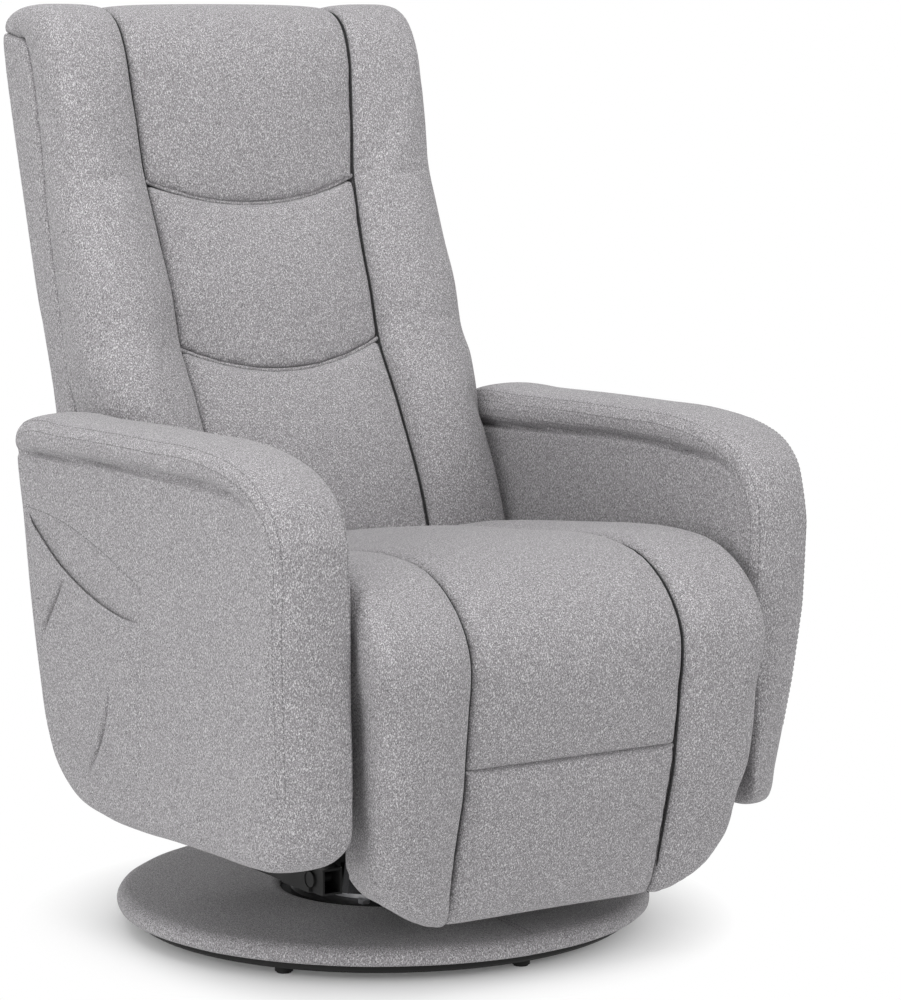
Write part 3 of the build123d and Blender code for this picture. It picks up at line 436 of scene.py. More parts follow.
FIBRE_CELLS = 800.0     # of the heather's streaks, to a metre


def heather_cloth(name, dark, middle, light):
    """Woven melange: pale and dark fibres in short streaks, soft patches and a fine weave."""
    cloth = Finish(name)
    warp = cloth.noise(FIBRE_CELLS, 3.0, 0.75, cloth.place((1.0, 1.0, 0.55), (0.5, 0.3, 0.6)))
    weft = cloth.noise(FIBRE_CELLS, 3.0, 0.75, cloth.place((1.0, 0.5, 1.0), (-0.4, 0.6, -0.5)))
    patch = cloth.noise(38.0, 3.0, 0.6)
    pale = warp.clamp(0.50, 0.66)
    deep = weft.clamp(0.48, 0.66)
    base = cloth.mix(patch.clamp(0.3, 0.7), tinted(middle, 0.965), middle)
    weave = warp * 0.5 + weft * 0.5
    return cloth.done(
        base_color=cloth.mix(pale, cloth.mix(deep, base, dark), light),
        roughness=weave.clamp(0.2, 0.8) * 0.1 + 0.86,
        normal=cloth.bump(weave, 0.55, 0.0011),
        specular_ior_level=0.22,
        sheen_weight=0.12,
        sheen_roughness=0.5,
    )


def thread(name, colour):
    """Sewing thread: twisted strands along the seam."""
    twine = Finish(name)
    twist = twine.noise(900.0, 2.0, 0.6)
    return twine.done(
        base_color=twine.mix(twist.clamp(0.3, 0.7), tinted(colour, 0.6), colour),
        roughness=0.85,
        normal=twine.bump(twist, 0.4, 0.0004),
    )


def moulded_plastic(name, colour):
    """Black moulding with a fine spark-eroded grain."""
    plastic = Finish(name)
    grain = plastic.noise(1400.0, 2.0, 0.6)
    wear = plastic.noise(45.0, 3.0, 0.6)
    return plastic.done(
        base_color=plastic.mix(wear.clamp(0.4, 0.75), colour, tinted(colour, 1.5, 0.002)),
        roughness=wear.clamp(0.3, 0.7) * 0.14 + 0.5,
        specular_ior_level=0.25,
        normal=plastic.bump(grain, 0.25, 0.0003),
    )


def powder_coat(name, colour):
    """Powder-coated steel: a slight orange peel and dusty patches."""
    coat = Finish(name)
    peel = coat.noise(420.0, 1.5, 0.5)
    dust = coat.noise(26.0, 4.0, 0.65)
    return coat.done(
        base_color=coat.mix(dust.clamp(0.45, 0.8), colour, tinted(colour, 1.6, 0.003)),
        roughness=dust.clamp(0.3, 0.7) * 0.16 + 0.5,
        specular_ior_level=0.3,
        normal=coat.bump(peel, 0.3, 0.0004),
    )


def plated_steel(name):
    """Zinc-plated steel with faint drawn lines and cloudy patches."""
    steel = Finish(name)
    lines = steel.noise(260.0, 3.0, 0.6, steel.place((0.06, 1.0, 1.0)))
    cloud = steel.noise(60.0, 3.0, 0.6)
    return steel.done(
        base_color=steel.mix(cloud.clamp(0.35, 0.7), (0.50, 0.50, 0.52), (0.62, 0.62, 0.63)),
        metallic=1.0,
        roughness=lines.clamp(0.3, 0.7) * 0.18 + 0.28,
        normal=steel.bump(lines, 0.15, 0.0003),
    )


def plywood(name):
    """Raw plywood: long grain with darker year rings and pores."""
    wood = Finish(name)
    grain = wood.noise(55.0, 4.0, 0.65, wood.place((0.09, 1.0, 1.0)))
    pores = wood.noise(700.0, 2.0, 0.6, wood.place((0.12, 1.0, 1.0)))
    face = wood.mix(grain.clamp(0.35, 0.65), (0.44, 0.29, 0.16), (0.60, 0.44, 0.27))
    return wood.done(
        base_color=wood.mix(pores.clamp(0.58, 0.8), face, (0.30, 0.19, 0.10)),
        roughness=grain.clamp(0.3, 0.7) * 0.12 + 0.66,
        normal=wood.bump(grain + pores * 0.5, 0.3, 0.0005),
    )


def lining_cloth(name, colour, scale=900.0):
    """Plain black lining, felt or webbing: fine crossed fibres."""
    cloth = Finish(name)
    fibres = cloth.noise(scale, 3.0, 0.7)
    return cloth.done(
        base_color=cloth.mix(fibres.clamp(0.35, 0.7), colour, tinted(colour, 2.2, 0.004)),
        roughness=0.93,
        normal=cloth.bump(fibres, 0.5, 0.0008),
        specular_ior_level=0.2,
    )


HEATHER = heather_cloth(
    "grey_heather", (0.055, 0.053, 0.055), (0.245, 0.236, 0.245), (0.62, 0.608, 0.62)
)
# The seam cords' near black is partly the thread's own colour and partly painted shade of the valleys they lie in.
SEAM_THREAD_AND_SHADE = thread("seam_thread", (0.014, 0.014, 0.015))
EDGE_STITCH = thread("edge_stitch", (0.17, 0.167, 0.17))
RING_PLASTIC = moulded_plastic("ring_plastic", (0.006, 0.006, 0.006))
FOOT_PLASTIC = moulded_plastic("foot_plastic", (0.005, 0.005, 0.005))
BLACK_STEEL = powder_coat("black_steel", (0.006, 0.006, 0.006))
BRIGHT_STEEL = plated_steel("bright_steel")
BOARD = plywood("board")
FELT = lining_cloth("felt", (0.035, 0.035, 0.037), 420.0)
WEBBING = lining_cloth("webbing", (0.022, 0.022, 0.024), 1100.0)
LINING = lining_cloth("lining", (0.016, 0.016, 0.017))


def finish(piece, material):
    """Give a new piece its material."""
    piece.data.materials.clear()
    piece.data.materials.append(material)


def carry(piece, bodies):
    """Let a piece ride one body; a piece given two, across the leg rest's hinge, is fixed where it is and rides
    neither.
    """
    if len(bodies) == 2:
        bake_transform(piece)
    else:
        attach(piece, *bodies)


def upholster(piece, fill, nodes, *bodies):
    """Finish a padded piece that stands for plain solids."""
    finish(piece, HEATHER)
    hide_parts(*nodes)
    carry(piece, bodies)


# ----- pieces that stay as they are
CAD_FINISH = {
    "black_steel": BLACK_STEEL,
    "bright_steel": BRIGHT_STEEL,
    "board": BOARD,
    "felt": FELT,
    "webbing": WEBBING,
    "foot_plastic": FOOT_PLASTIC,
    "trim_plastic": RING_PLASTIC,
    "upholstery": HEATHER,
}
slot_of = {part["node"]: part["material_slot"] for part in frame["record"]["subparts"]}
for node, piece in frame["nodes"].items():
    piece.data.materials.clear()
    piece.data.materials.append(CAD_FINISH[slot_of[node]])
# Boards that show through dark gaps in the chair and in the base's opening get the black lining instead of wood:
# painted shade.
for node in ("rest_board", "back_stiles", "back_cross_rails", "base_board", "seat_boards"):
    frame["nodes"][node].data.materials[0] = LINING

# ===== seat and leg rest
# The valley between the centre panel and a side roll, from the back of the seat over the nose and
# down the leg rest, and the hidden line behind it.
SEAT_VALLEY = (
    (119, 445), (40, 456), (-21, 464), (-90, 469), (-146, 473), (-213, 480), (-272, 480),
    (-318, 473), (-350, 459), (-377, 438), (-395, 415), (-405, 392), (-407, 366), (-402, 325),
    (-395, 264), (-392, 237), (-381, 194), (-367, 138), (-358, 104), (-345, 82),
)
SEAT_CORE = (
    (115, 398), (40, 398), (-21, 398), (-90, 398), (-146, 398), (-213, 399), (-262, 400),
    (-300, 402), (-322, 402), (-332, 396), (-336, 384), (-334, 372), (-331, 350), (-324, 325),
    (-311, 264), (-307, 237), (-300, 194), (-291, 138), (-287, 112), (-286, 94),
)
REST_SPLIT = SEAT_VALLEY.index((-395, 264))


LEG_SAMPLES = 12        # samples of a panel's lines between two drawn points


class Skin:
    """Matched outer and inner lines of a soft panel in side view.

    Each is a smooth curve through its drawn points, with the same number of samples between any
    two, so that the n-th points of both stay opposite each other. facing is 1 where the outside
    lies on the left of the outer line as drawn, and -1 otherwise.
    """

    def __init__(self, outer, inner, facing=1.0):
        share = np.linspace(0, len(outer) - 1, LEG_SAMPLES * (len(outer) - 1) + 1)
        i = np.clip(share.astype(int), 0, len(outer) - 2)
        self.outer, self.inner = (
            cubic(given, np.gradient(given, axis=0), i, (share - i)[:, None])
            for given in (np.array(outer, float), np.array(inner, float))
        )
        self.normal = outward(self.outer) * facing
        self.count = len(share)
        self.length = np.linalg.norm(np.diff(self.outer, axis=0), axis=1).sum()

    def at(self, v):
        """Outer point, inner point and normal at shares v of the samples."""
        spot = v * (self.count - 1)
        index = np.arange(self.count)
        normal = read_off(spot, index, self.normal)
        return (
            read_off(spot, index, self.outer),
            read_off(spot, index, self.inner),
            normal / np.linalg.norm(normal, axis=1)[:, None],
        )

    def raised(self, v, w, lift):
        """Side-view points at a share w from inner to outer line, raised by lift times w."""
        outer, inner, normal = self.at(v)
        return inner + (outer - inner) * w[:, None] + normal * (lift * w)[:, None]

    def nearness(self, points):
        """Each point's distance to the outer line and to the inner line, in side view."""
        flat = points[:, 1:]
        gaps = []
        for line in (self.outer, self.inner):
            away = flat[:, None] - line[None, ::2]
            gaps.append(np.sqrt((away ** 2).sum(axis=2)).min(axis=1))
        return gaps


def swell(edge, width, power=3.0):
    """A pillow's rise from a sewn edge: upright at the edge and level past the width.

    It is the square root of one less a power of the share of the width that is left.
    """
    t = np.clip(1.0 - edge / width, 0.0, 1.0)
    return np.sqrt(1.0 - t ** power)


def sewn_ends(rise, distances, widths):
    """The rise times the swell from each end that is sewn; a width of 0 leaves an end free."""
    for distance, width in zip(distances, widths):
        if width:
            rise = rise * swell(distance, width)
    return rise


def turned_edge(edge, radius):
    """How far an edge rounded by a quarter circle has fallen away, at a distance in from it."""
    inside = np.clip(radius - edge, 0.0, radius)
    return radius - np.sqrt(radius ** 2 - inside ** 2)


PANEL_SWELL = 0.75      # share of a panel's half width over which its face rises
ROLL_SWELL = 0.6        # share of a roll's width over which its face rises
LARGEST_TURN = 0.7      # a roll's rounded edge takes up at most this share of its width


def centre_panel(name, skin, half, crown, end_swell, cells):
    """A panel between the two valleys, crowned across, with its ends drawn in where sewn.

    crown is a function of the share along the panel. A point lies on the straight line from the
    inner to the outer line, pushed out by the crown times the rise from each sewn edge.
    """
    def shape(u, v, w):
        x = (2 * u - 1) * half
        rise = swell(half - np.abs(x), PANEL_SWELL * half)
        rise = sewn_ends(rise, (v * skin.length, (1 - v) * skin.length), end_swell)
        return np.column_stack([x, skin.raised(v, w, crown(v) * rise)])

    return mesh_piece(name, *box_surface(shape, cells))


def side_roll(name, skin, side, near, far, crown, radius, end_swell, cells):
    """A roll from a valley to the piece's outer side: it rises from the seam and turns over.

    near, far, crown and radius are functions of the share along the roll. A point is pushed out by
    the crown times the rise from the seam, less a quarter circle's fall at the outer side.
    """
    def shape(u, v, w):
        low = near(v)
        high = far(v)
        x = low + (high - low) * u
        rise = swell(x - low, ROLL_SWELL * (high - low))
        rise = sewn_ends(rise, (v * skin.length, (1 - v) * skin.length), end_swell)
        bend = np.minimum(radius(v), LARGEST_TURN * (high - low))
        lift = crown(v) * rise - turned_edge(high - x, bend)
        return np.column_stack([side * x, skin.raised(v, w, lift)])

    return mesh_piece(name, *box_surface(shape, cells))


def along(*stops):
    """A value given at shares of the length, in straight lines between them."""
    shares, values = zip(*stops)
    return lambda v: np.interp(v, shares, values)


HELD_WITHIN = 1.0       # points this near a seam are held fully, and freed up to the grip


def hold_near_seam(x, grip):
    """Points near a lengthwise seam are held, easing to free at the grip."""
    def rule(points):
        return 1.0 - ease(np.abs(np.abs(points[:, 0]) - x), HELD_WITHIN, grip)
    return rule


def hold_inside(skin, share=0.35):
    """Points past a share of the way from a panel's outer line to its hidden inner one are held."""
    def rule(points):
        to_outer, to_inner = skin.nearness(points)
        return ease(to_outer / (to_outer + to_inner), share - 0.15, share + 0.15)
    return rule


def hold_beyond(limit, grip, sign):
    """Points above a height, or with sign -1 below it, are held, easing to free at the grip."""
    def rule(points):
        return ease(sign * (points[:, 2] - limit), -grip, 0.0)
    return rule


# How far a stuffed panel's face still rises when it is blown up, which its drawn crown leaves out.
SEAT_RISE = 8.0
SEAT_GRIP = 12.0        # from a centre panel's seam to where its cover is free
ROLL_GRIP = 9.0         # the same on a side roll, on the seat and on the back

seat_skin = Skin(SEAT_VALLEY[:REST_SPLIT + 1], SEAT_CORE[:REST_SPLIT + 1], facing=-1.0)
seat_centre = centre_panel(
    "seat_centre",
    seat_skin,
    SEAM_X - SEAM_GAP,
    along((0, 3), (0.4, 7), (0.46, 7), (0.5, 5), (0.54, 7), (0.7, 7), (1, 5)),
    end_swell=(20.0, 26.0),
    cells=(44, 110, 10),
)
stuffed(
    seat_centre,
    [
        hold_near_seam(SEAM_X, SEAT_GRIP),
        hold_inside(seat_skin),
        hold_beyond(REST_SEAM_Z + 2, 10.0, -1.0),
    ],
    SEAT_RISE,
)

lower_skin = Skin(SEAT_VALLEY[REST_SPLIT:], SEAT_CORE[REST_SPLIT:], facing=-1.0)
rest_lower = centre_panel(
    "leg_rest_lower",
    lower_skin,
    SEAM_X - SEAM_GAP - 2,
    along((0, 5), (0.5, 6), (1, 4)),
    end_swell=(26.0, 22.0),
    cells=(44, 40, 10),
)
stuffed(
    rest_lower,
    [
        hold_near_seam(SEAM_X - 2, SEAT_GRIP),
        hold_inside(lower_skin),
        hold_beyond(REST_SEAM_Z - 2, 10.0, 1.0),
    ],
    SEAT_RISE,
)

# Half width of the seat at the nose: the near roll bulges to the arm, the far one less.
NOSE_REACH = {"right": 259.0, "left": 253.0}
roll_skin = Skin(SEAT_VALLEY, SEAT_CORE, facing=-1.0)
rolls = {}
for label, side in SIDES:
    nose = NOSE_REACH[label]
    rolls[label] = side_roll(
        f"{label}_side_roll",
        roll_skin,
        side,
        along((0, SEAM_X + SEAM_GAP), (0.86, SEAM_X + SEAM_GAP), (1, SEAM_X - 7)),
        along(
            (0, 249), (0.4, nose), (0.6, nose), (0.68, 250), (0.8, 246), (0.88, 236), (0.935, 211),
            (0.97, 185), (1, 156),
        ),
        along((0, -3), (0.16, -1), (0.26, 3), (0.36, 8), (0.5, 14), (0.62, 14), (0.85, 11), (1, 6)),
        along((0, 18), (0.3, 18), (0.42, 16), (0.6, 12), (0.8, 14), (1, 22)),
        end_swell=(20.0, 16.0),
        cells=(34, 150, 12),
    )
    rules = [hold_near_seam(SEAM_X, ROLL_GRIP), hold_inside(roll_skin, 0.6)]
    stuffed(rolls[label], rules, SEAT_RISE)

# Two points on the curve over the nose, about the leg rest's hinge.
HINGE_START = (0.0, AXIS_Y - 0.268, 0.418)
HINGE_END = (0.0, AXIS_Y - 0.368, 0.318)

# The foam block under the seat's quilted cover, wrapped in lining.
BLOCK_SIDE = (
    (104, 349.5), (-317, 349.5), (-321, 360), (-318, 378), (-250, 392), (104, 396),
)
BLOCK_INSET = 14.0      # from the seat's side to the block


def lining_block():
    """The block's side outline carried across the seat, its edges rounded by bevels."""
    count = len(BLOCK_SIDE)
    half = SEAT_HALF - BLOCK_INSET
    points = [np.column_stack([np.full(count, x), BLOCK_SIDE]) for x in (-half, half)]
    ring = np.arange(count)
    sides = np.stack([ring, (ring + 1) % count, (ring + 1) % count + count, ring + count], axis=1)
    faces = sides.tolist() + [ring[::-1].tolist(), (ring + count).tolist()]
    piece = mesh_piece("seat_foam_block", np.concatenate(points), faces)
    bevel = piece.modifiers.new("soft_edge", "BEVEL")
    bevel.width = 6 * MM
    bevel.segments = 3
    return piece


foam_block = lining_block()
finish(foam_block, LINING)
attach(foam_block, "seat")

# ===== back
BACK_VALLEY = (
    (110, 428), (136, 500), (165, 556), (194, 608), (232, 671), (252, 735), (272, 785), (292, 840),
    (305, 880), (313, 930), (321, 980), (330, 1026), (345, 1058), (366, 1074), (392, 1079),
    (420, 1078), (445, 1072), (461, 1061), (463, 1050),
)
BACK_CORE = (
    (244, 422), (258, 500), (272, 556), (284, 608), (301, 671), (317, 735), (330, 785), (344, 840),
    (350, 880), (360, 930), (371, 980), (382, 1016), (390, 1032), (398, 1040), (403, 1043),
    (408, 1044), (412, 1044), (415, 1044), (416, 1042),
)
HEAD_Z = 872.0          # curved seams, at the valleys
WAIST_Z = 672.0
SEAM_SAG = 31.0         # how much lower they lie in the middle
SEAM_FLARE = 18.5       # how much wider the centre panels' half width is at the top
FLARE_FROM = 720.0      # heights between which it widens
FLARE_TO = 1090.0
BACK_RISE = 11.0        # as SEAT_RISE
BACK_GRIP = 12.0        # as SEAT_GRIP
END_SWELL = 34.0        # from a curved seam to where the panel has risen
back_skin = Skin(BACK_VALLEY, BACK_CORE)


def flare(z):
    """Half the centre panels' width at a height: the valleys spread towards the top."""
    return SEAM_X + 0.5 + SEAM_FLARE * ease(z, FLARE_FROM, FLARE_TO)


def sag(x, z):
    """How far below its ends a curved seam lies at a distance from the middle: a parabola."""
    return SEAM_SAG * (1.0 - np.clip(np.abs(x) / flare(z), 0.0, 1.0) ** 2)


def back_centre(name, low, high, crown, cells):
    """A centre panel of the back between two seams, each given as its height at the valleys.

    An end of None is a free end of the back's own outline. The panel is a centre panel whose ends
    follow the sag of their seams, and whose half width is the flare at each height.
    """
    height = back_skin.outer[:, 1]
    rising = slice(0, int(np.argmax(height)) + 1)
    share = np.arange(back_skin.count) / (back_skin.count - 1)

    def share_at(z):
        """The share of the outline's samples at a height, on its rising part."""
        return np.interp(z, height[rising], share[rising])

    def shape(u, v, w):
        x_share = 2 * u - 1
        first = share_at(low - sag(x_share * SEAM_X, low) if low else height[0])
        last = share_at(high - sag(x_share * SEAM_X, high)) if high else 1.0
        spot = first + (last - first) * v
        reach = flare(back_skin.at(spot)[0][:, 1]) - SEAM_GAP
        x = x_share * reach
        rise = swell(reach - np.abs(x), PANEL_SWELL * reach)
        distances = (spot - first) * back_skin.length, (last - spot) * back_skin.length
        rise = sewn_ends(rise, distances, (END_SWELL if low else 0.0, END_SWELL if high else 0.0))
        return np.column_stack([x, back_skin.raised(spot, w, crown(v) * rise)])

    return mesh_piece(name, *box_surface(shape, cells))


def hold_on_curve(z, grip):
    """Points near a curved seam are held, easing to free at the grip."""
    def rule(points):
        return 1.0 - ease(np.abs(points[:, 2] - (z - sag(points[:, 0], z))), HELD_WITHIN, grip)
    return rule


def hold_on_flare(grip):
    """Points near the back's valleys are held, easing to free at the grip."""
    def rule(points):
        return 1.0 - ease(np.abs(np.abs(points[:, 0]) - flare(points[:, 2])), HELD_WITHIN, grip)
    return rule


back_pads = {}
for name, low, high, crown, rows in (
    ("back_head", HEAD_Z + 1, None, along((0, 5), (0.3, 6), (0.55, 5), (0.85, 5), (1, 0)), 70),
    ("back_middle", WAIST_Z + 1, HEAD_Z - 1, along((0, 6), (0.5, 8), (1, 6)), 50),
    ("back_waist", None, WAIST_Z - 1, along((0, 4), (0.5, 8), (1, 6)), 60),
):
    pad = back_centre(name, low, high, crown, (50, rows, 10))
    rules = [hold_on_flare(BACK_GRIP), hold_inside(back_skin)]
    rules += [hold_on_curve(z, BACK_GRIP) for z in (low, high) if z]
    stuffed(pad, rules, BACK_RISE)
    back_pads[f"{name}_pad"] = pad

for label, side in SIDES:
    roll = side_roll(
        f"{label}_back_roll_cover",
        back_skin,
        side,
        lambda v: flare(back_skin.at(v)[0][:, 1]) + SEAM_GAP,
        along(
            (0, BACK_HALF - 3), (0.14, BACK_HALF - 3), (0.2, BACK_HALF + 5), (0.5, BACK_HALF + 3),
            (1, BACK_HALF + 1),
        ),
        along(
            (0, 8), (0.12, 22), (0.2, 28), (0.3, 24), (0.42, 19), (0.55, 16), (0.65, 11), (0.8, 6),
            (0.92, 4), (1, 0),
        ),
        along((0, 22), (0.3, 20), (0.5, 20), (0.65, 26), (0.8, 20), (1, 10)),
        end_swell=(14.0, 0.0),
        cells=(34, 150, 14),
    )
    stuffed(roll, [hold_on_flare(ROLL_GRIP), hold_inside(back_skin, 0.7)], BACK_RISE)
    back_pads[f"{label}_back_roll"] = roll

# The rear of the back: one taut panel, slightly domed, that wraps round to the rolls.
REAR_FACE = (
    (296, 388), (310, 450), (328, 520), (346, 606), (362, 664), (386, 748), (406, 819), (427, 891),
    (446, 960), (459, 1012), (465, 1052),
)
REAR_CORE = (
    (250, 388), (252, 450), (264, 520), (285, 606), (300, 664), (321, 748), (340, 819), (354, 891),
    (368, 960), (383, 1012), (398, 1042),
)
REAR_BOW = 4.0
REAR_TURN = 10.0        # radius of its rounded sides


def rear_panel():
    """The rear panel: its face bowed out across by a parabola and rounded at both sides."""
    skin = Skin(REAR_FACE, REAR_CORE)

    def shape(u, v, w):
        half = BACK_HALF - 1.0 + 4.0 * ease(skin.at(v)[0][:, 1], 600.0, 760.0)
        x = (2 * u - 1) * half
        bow = REAR_BOW * (1 - (x / BACK_HALF) ** 2) - turned_edge(half - np.abs(x), REAR_TURN)
        return np.column_stack([x, skin.raised(v, w, -bow)])

    return mesh_piece("back_rear_panel", *box_surface(shape, (60, 80, 6)))


rear_cover = rear_panel()
remeshed(rear_cover)
refine(rear_cover)

PUCKER_SAMPLES = 40     # points on a pucker's line
PUCKER_REACH = 90.0     # box about a pucker's middle, past which nothing sinks


def wrinkled(piece, lines, depth=3.0, width=3.2):
    """Short puckers: points near each line sink along their normals by a bell of the distance.

    Beside the line they rise by a smaller bell, and both fade at its ends as the root of a sine.
    """
    points = points_of(piece)
    sink = np.zeros(len(points))
    for line in lines:
        given = np.array(line, float)
        share = np.linspace(0.0, len(given) - 1.0, PUCKER_SAMPLES)
        path = read_off(share, np.arange(len(given)), given)
        inside = np.abs(points - path.mean(axis=0)) < PUCKER_REACH
        near = np.nonzero(inside.all(axis=1))[0]
        away = np.linalg.norm(points[near, None] - path[None], axis=2)
        at = away.argmin(axis=1)
        gap = away[np.arange(len(near)), at]
        fade = np.sin(np.pi * np.clip((at + 3.0) / (PUCKER_SAMPLES + 6.0), 0.0, 1.0)) ** 0.5
        ridge = 0.4 * depth * bell(gap, 2.6 * width, width)
        sink[near] += fade * (depth * bell(gap, 0.0, width) - ridge)
    put_points(piece, points - normals_of(piece) * sink[:, None])


# Puckers as the photograph shows them, on one side; a roll's own side turns them over.
ROLL_PUCKERS = (
    ((252, -372, 384), (240, -398, 388), (212, -408, 396)),
    ((246, -345, 166), (232, -356, 150), (205, -362, 142)),
    ((228, -340, 128), (205, -352, 118), (178, -354, 116)),
    ((205, -330, 104), (188, -342, 100), (165, -346, 104)),
    ((165, -330, 88), (160, -346, 96), (158, -354, 112)),
)
BACK_PUCKERS = (
    ((150, 296, 872), (168, 296, 880), (190, 297, 890)),
    ((190, 293, 836), (228, 296, 844), (266, 312, 850)),
    ((205, 280, 800), (236, 284, 806), (266, 300, 810)),
)

blow_up()
for label, side in SIDES:
    wrinkled(rolls[label], [[(side * x, y, z) for x, y, z in line] for line in ROLL_PUCKERS])
wrinkled(back_pads["left_back_roll"], BACK_PUCKERS, 2.4, 3.6)
for label, roll in rolls.items():
    upholster(roll, 0.7, [f"{label}_seat_roll", f"{label}_rest_roll"], "seat", "leg_rest")
upholster(seat_centre, 0.65, ["seat_cushion", "rest_upper_pad"], "seat", "leg_rest")
upholster(rest_lower, 0.65, ["rest_lower_pad"], "leg_rest")
for node, pad in back_pads.items():
    upholster(pad, 0.65, [node], "back")
upholster(rear_cover, 0.8, ["back_rear_cover"], "back")

# ===== arms
ARM_SIDE = (
    (-367, 518), (-349, 554), (-316, 579), (-266, 596), (-200, 604), (-100, 604), (0, 603),
    (120, 600), (206, 598), (228, 593), (240, 581), (240, 563), (226, 490), (208, 385), (190, 307),
    (168, 235), (145, 198), (108, 174), (36, 162), (-46, 161), (-130, 165), (-230, 168),
    (-301, 170), (-342, 175), (-364, 192), (-370, 243), (-369, 350), (-369, 456),
)
ARM_MIDDLE = (-80.0, 390.0)
# The arm's outer front corner is rounded in plan: height, and radius of the turn there.
CORNER_TURN = (
    (165, 150), (205, 140), (243, 120), (311, 86), (399, 54), (496, 42), (560, 62), (590, 78),
    (620, 84),
)
CORNER_SHARE = {"right": 0.4, "left": 1.0}
CREASE_OUTER = (
    (240, 562), (140, 566), (40, 569), (-48, 571), (-140, 572), (-208, 572), (-262, 569),
    (-292, 562), (-312, 549), (-322, 530), (-326, 505),
)
CREASE_INNER = (
    (240, 560), (140, 562), (60, 566), (2, 569), (-121, 573), (-205, 571), (-260, 567), (-302, 561),
    (-321, 552), (-334, 532), (-338, 505),
)


def arm_body(label, side, turn_share):
    """An arm: two flat sides and a band round its outline, crowned and turned at both edges.

    Each side is the outline drawn in towards its middle by shares. Across the band a point stands
    out by a crown times a flattened half-sine, and falls back near the edges by a quarter circle.
    The whole front is then narrowed towards its outer corner by a quarter ellipse in plan.
    """
    outline = smooth_curve(ARM_SIDE + ARM_SIDE[:1], 361)[:-1]
    normal = outward(np.concatenate([outline[-1:], outline, outline[:1]]))[1:-1]
    upper = ease(normal[:, 1], 0.2, 0.9)
    under = ease(-normal[:, 1], 0.2, 0.9)
    front = ease(-normal[:, 0], 0.3, 0.9)
    near_front = 1.0 - ease(outline[:, 0], -340.0, -200.0)
    crown = 3.0 + 7.5 * upper + 3.0 * front + 4.0 * under
    outer_turn = 5.0 + 10.0 * under + 6.0 * front
    inner_turn = 8.0 - 1.0 * front + under * (8.0 + 8.0 * near_front)
    inner_side = ARM_IN + 1.0
    outer_side = ARM_OUT - 1.0
    width = outer_side - inner_side
    steps = np.linspace(0.0, 1.0, 40)

    def ring(share, x, drawn):
        """The outline drawn in along its normals and then by a share towards its middle, at x."""
        base = outline - normal * drawn[:, None]
        middle = np.array(ARM_MIDDLE)
        return np.column_stack([np.full(len(base), x), middle + (base - middle) * share])

    rows = [ring(share, inner_side, inner_turn) for share in steps[1:-1]]
    for u in 0.5 - 0.5 * np.cos(np.pi * steps):
        stand = crown * np.sin(np.pi * u) ** 0.5 - turned_edge(u * width, inner_turn)
        stand = stand - turned_edge((1 - u) * width, outer_turn)
        rows.append(ring(1.0, inner_side + u * width, -stand))
    rows += [ring(share, outer_side, outer_turn) for share in steps[-2:0:-1]]
    tips = [[inner_side, *ARM_MIDDLE], [outer_side, *ARM_MIDDLE]]
    points = np.concatenate(rows + [tips])
    radius = np.interp(points[:, 2], *zip(*CORNER_TURN)) * turn_share
    depth = np.clip(points[:, 1] - outline[:, 0].min(), 0.0, None)
    bend = np.clip(1.0 - depth / (1.2 * radius), 0.0, 1.0)
    loss = 0.65 * radius * (1.0 - np.sqrt(1.0 - bend ** 2))
    full = ARM_OUT - ARM_IN
    points[:, 0] = ARM_IN + (points[:, 0] - ARM_IN) * (full - loss) / full
    points[:, 0] *= side
    spin = np.arange(len(outline))
    tip = len(points) - 2
    faces = grid_faces(len(rows), len(outline), wrap=True).tolist()
    faces += fan_faces(spin, tip, flip=True) + fan_faces(spin + tip - len(outline), tip + 1)
    return mesh_piece(f"{label}_arm", points, faces)


def nearest_on(line, flat):
    """Distance from side-view points to a line, how far along it that is, and the height above."""
    away = flat[:, None] - line[None]
    gap = np.sqrt((away ** 2).sum(axis=2))
    at = gap.argmin(axis=1)
    index = np.arange(len(flat))
    return gap[index, at], at / (len(line) - 1), away[index, at, 1]


CREASE_DEPTH = 8.0
CREASE_WIDTH = 3.6
TOP_SWELL = 4.0         # how far the padded top stands out beside the crease


def sew_arm(piece, side):
    """Draw in the crease under the padded top, and let the top's sides swell above it.

    The crease is a bell of the distance from its line, which fades at the front and the rear. The
    swelling eases in over the first millimetres above it and out again further up.
    """
    points = points_of(piece)
    x = points[:, 0] * side
    for line, face in ((CREASE_OUTER, 1.0), (CREASE_INNER, -1.0)):
        on_face = ease((x - (ARM_IN + ARM_OUT) / 2) * face, 20.0, 40.0)
        gap, share, above = nearest_on(smooth_curve(line, 160), points[:, 1:])
        fade = (1.0 - ease(share, 0.74, 1.0)) * (0.35 + 0.65 * ease(share, 0.0, 0.1))
        groove = CREASE_DEPTH * bell(gap, 0.0, CREASE_WIDTH) * fade
        swollen = TOP_SWELL * ease(above, 2.0, 12.0) * (1.0 - ease(above, 20.0, 36.0)) * fade
        points[:, 0] += side * face * on_face * (swollen - groove)
    put_points(piece, points)


ARM_VOXEL = 4.5         # cells fine enough for the crease
arms = {}
for label, side in SIDES:
    arm = arm_body(label, side, CORNER_SHARE[label])
    remeshed(arm, ARM_VOXEL, 8)
    sew_arm(arm, side)
    if label == "right":
        wrinkled(arm, [((-ARM_OUT, -202, 222), (-ARM_OUT, -203, 176))], 3.0, 2.4)
    upholster(arm, 0.7, [f"{label}_arm_cover", f"{label}_arm_top"], "chassis")
    arms[label] = arm

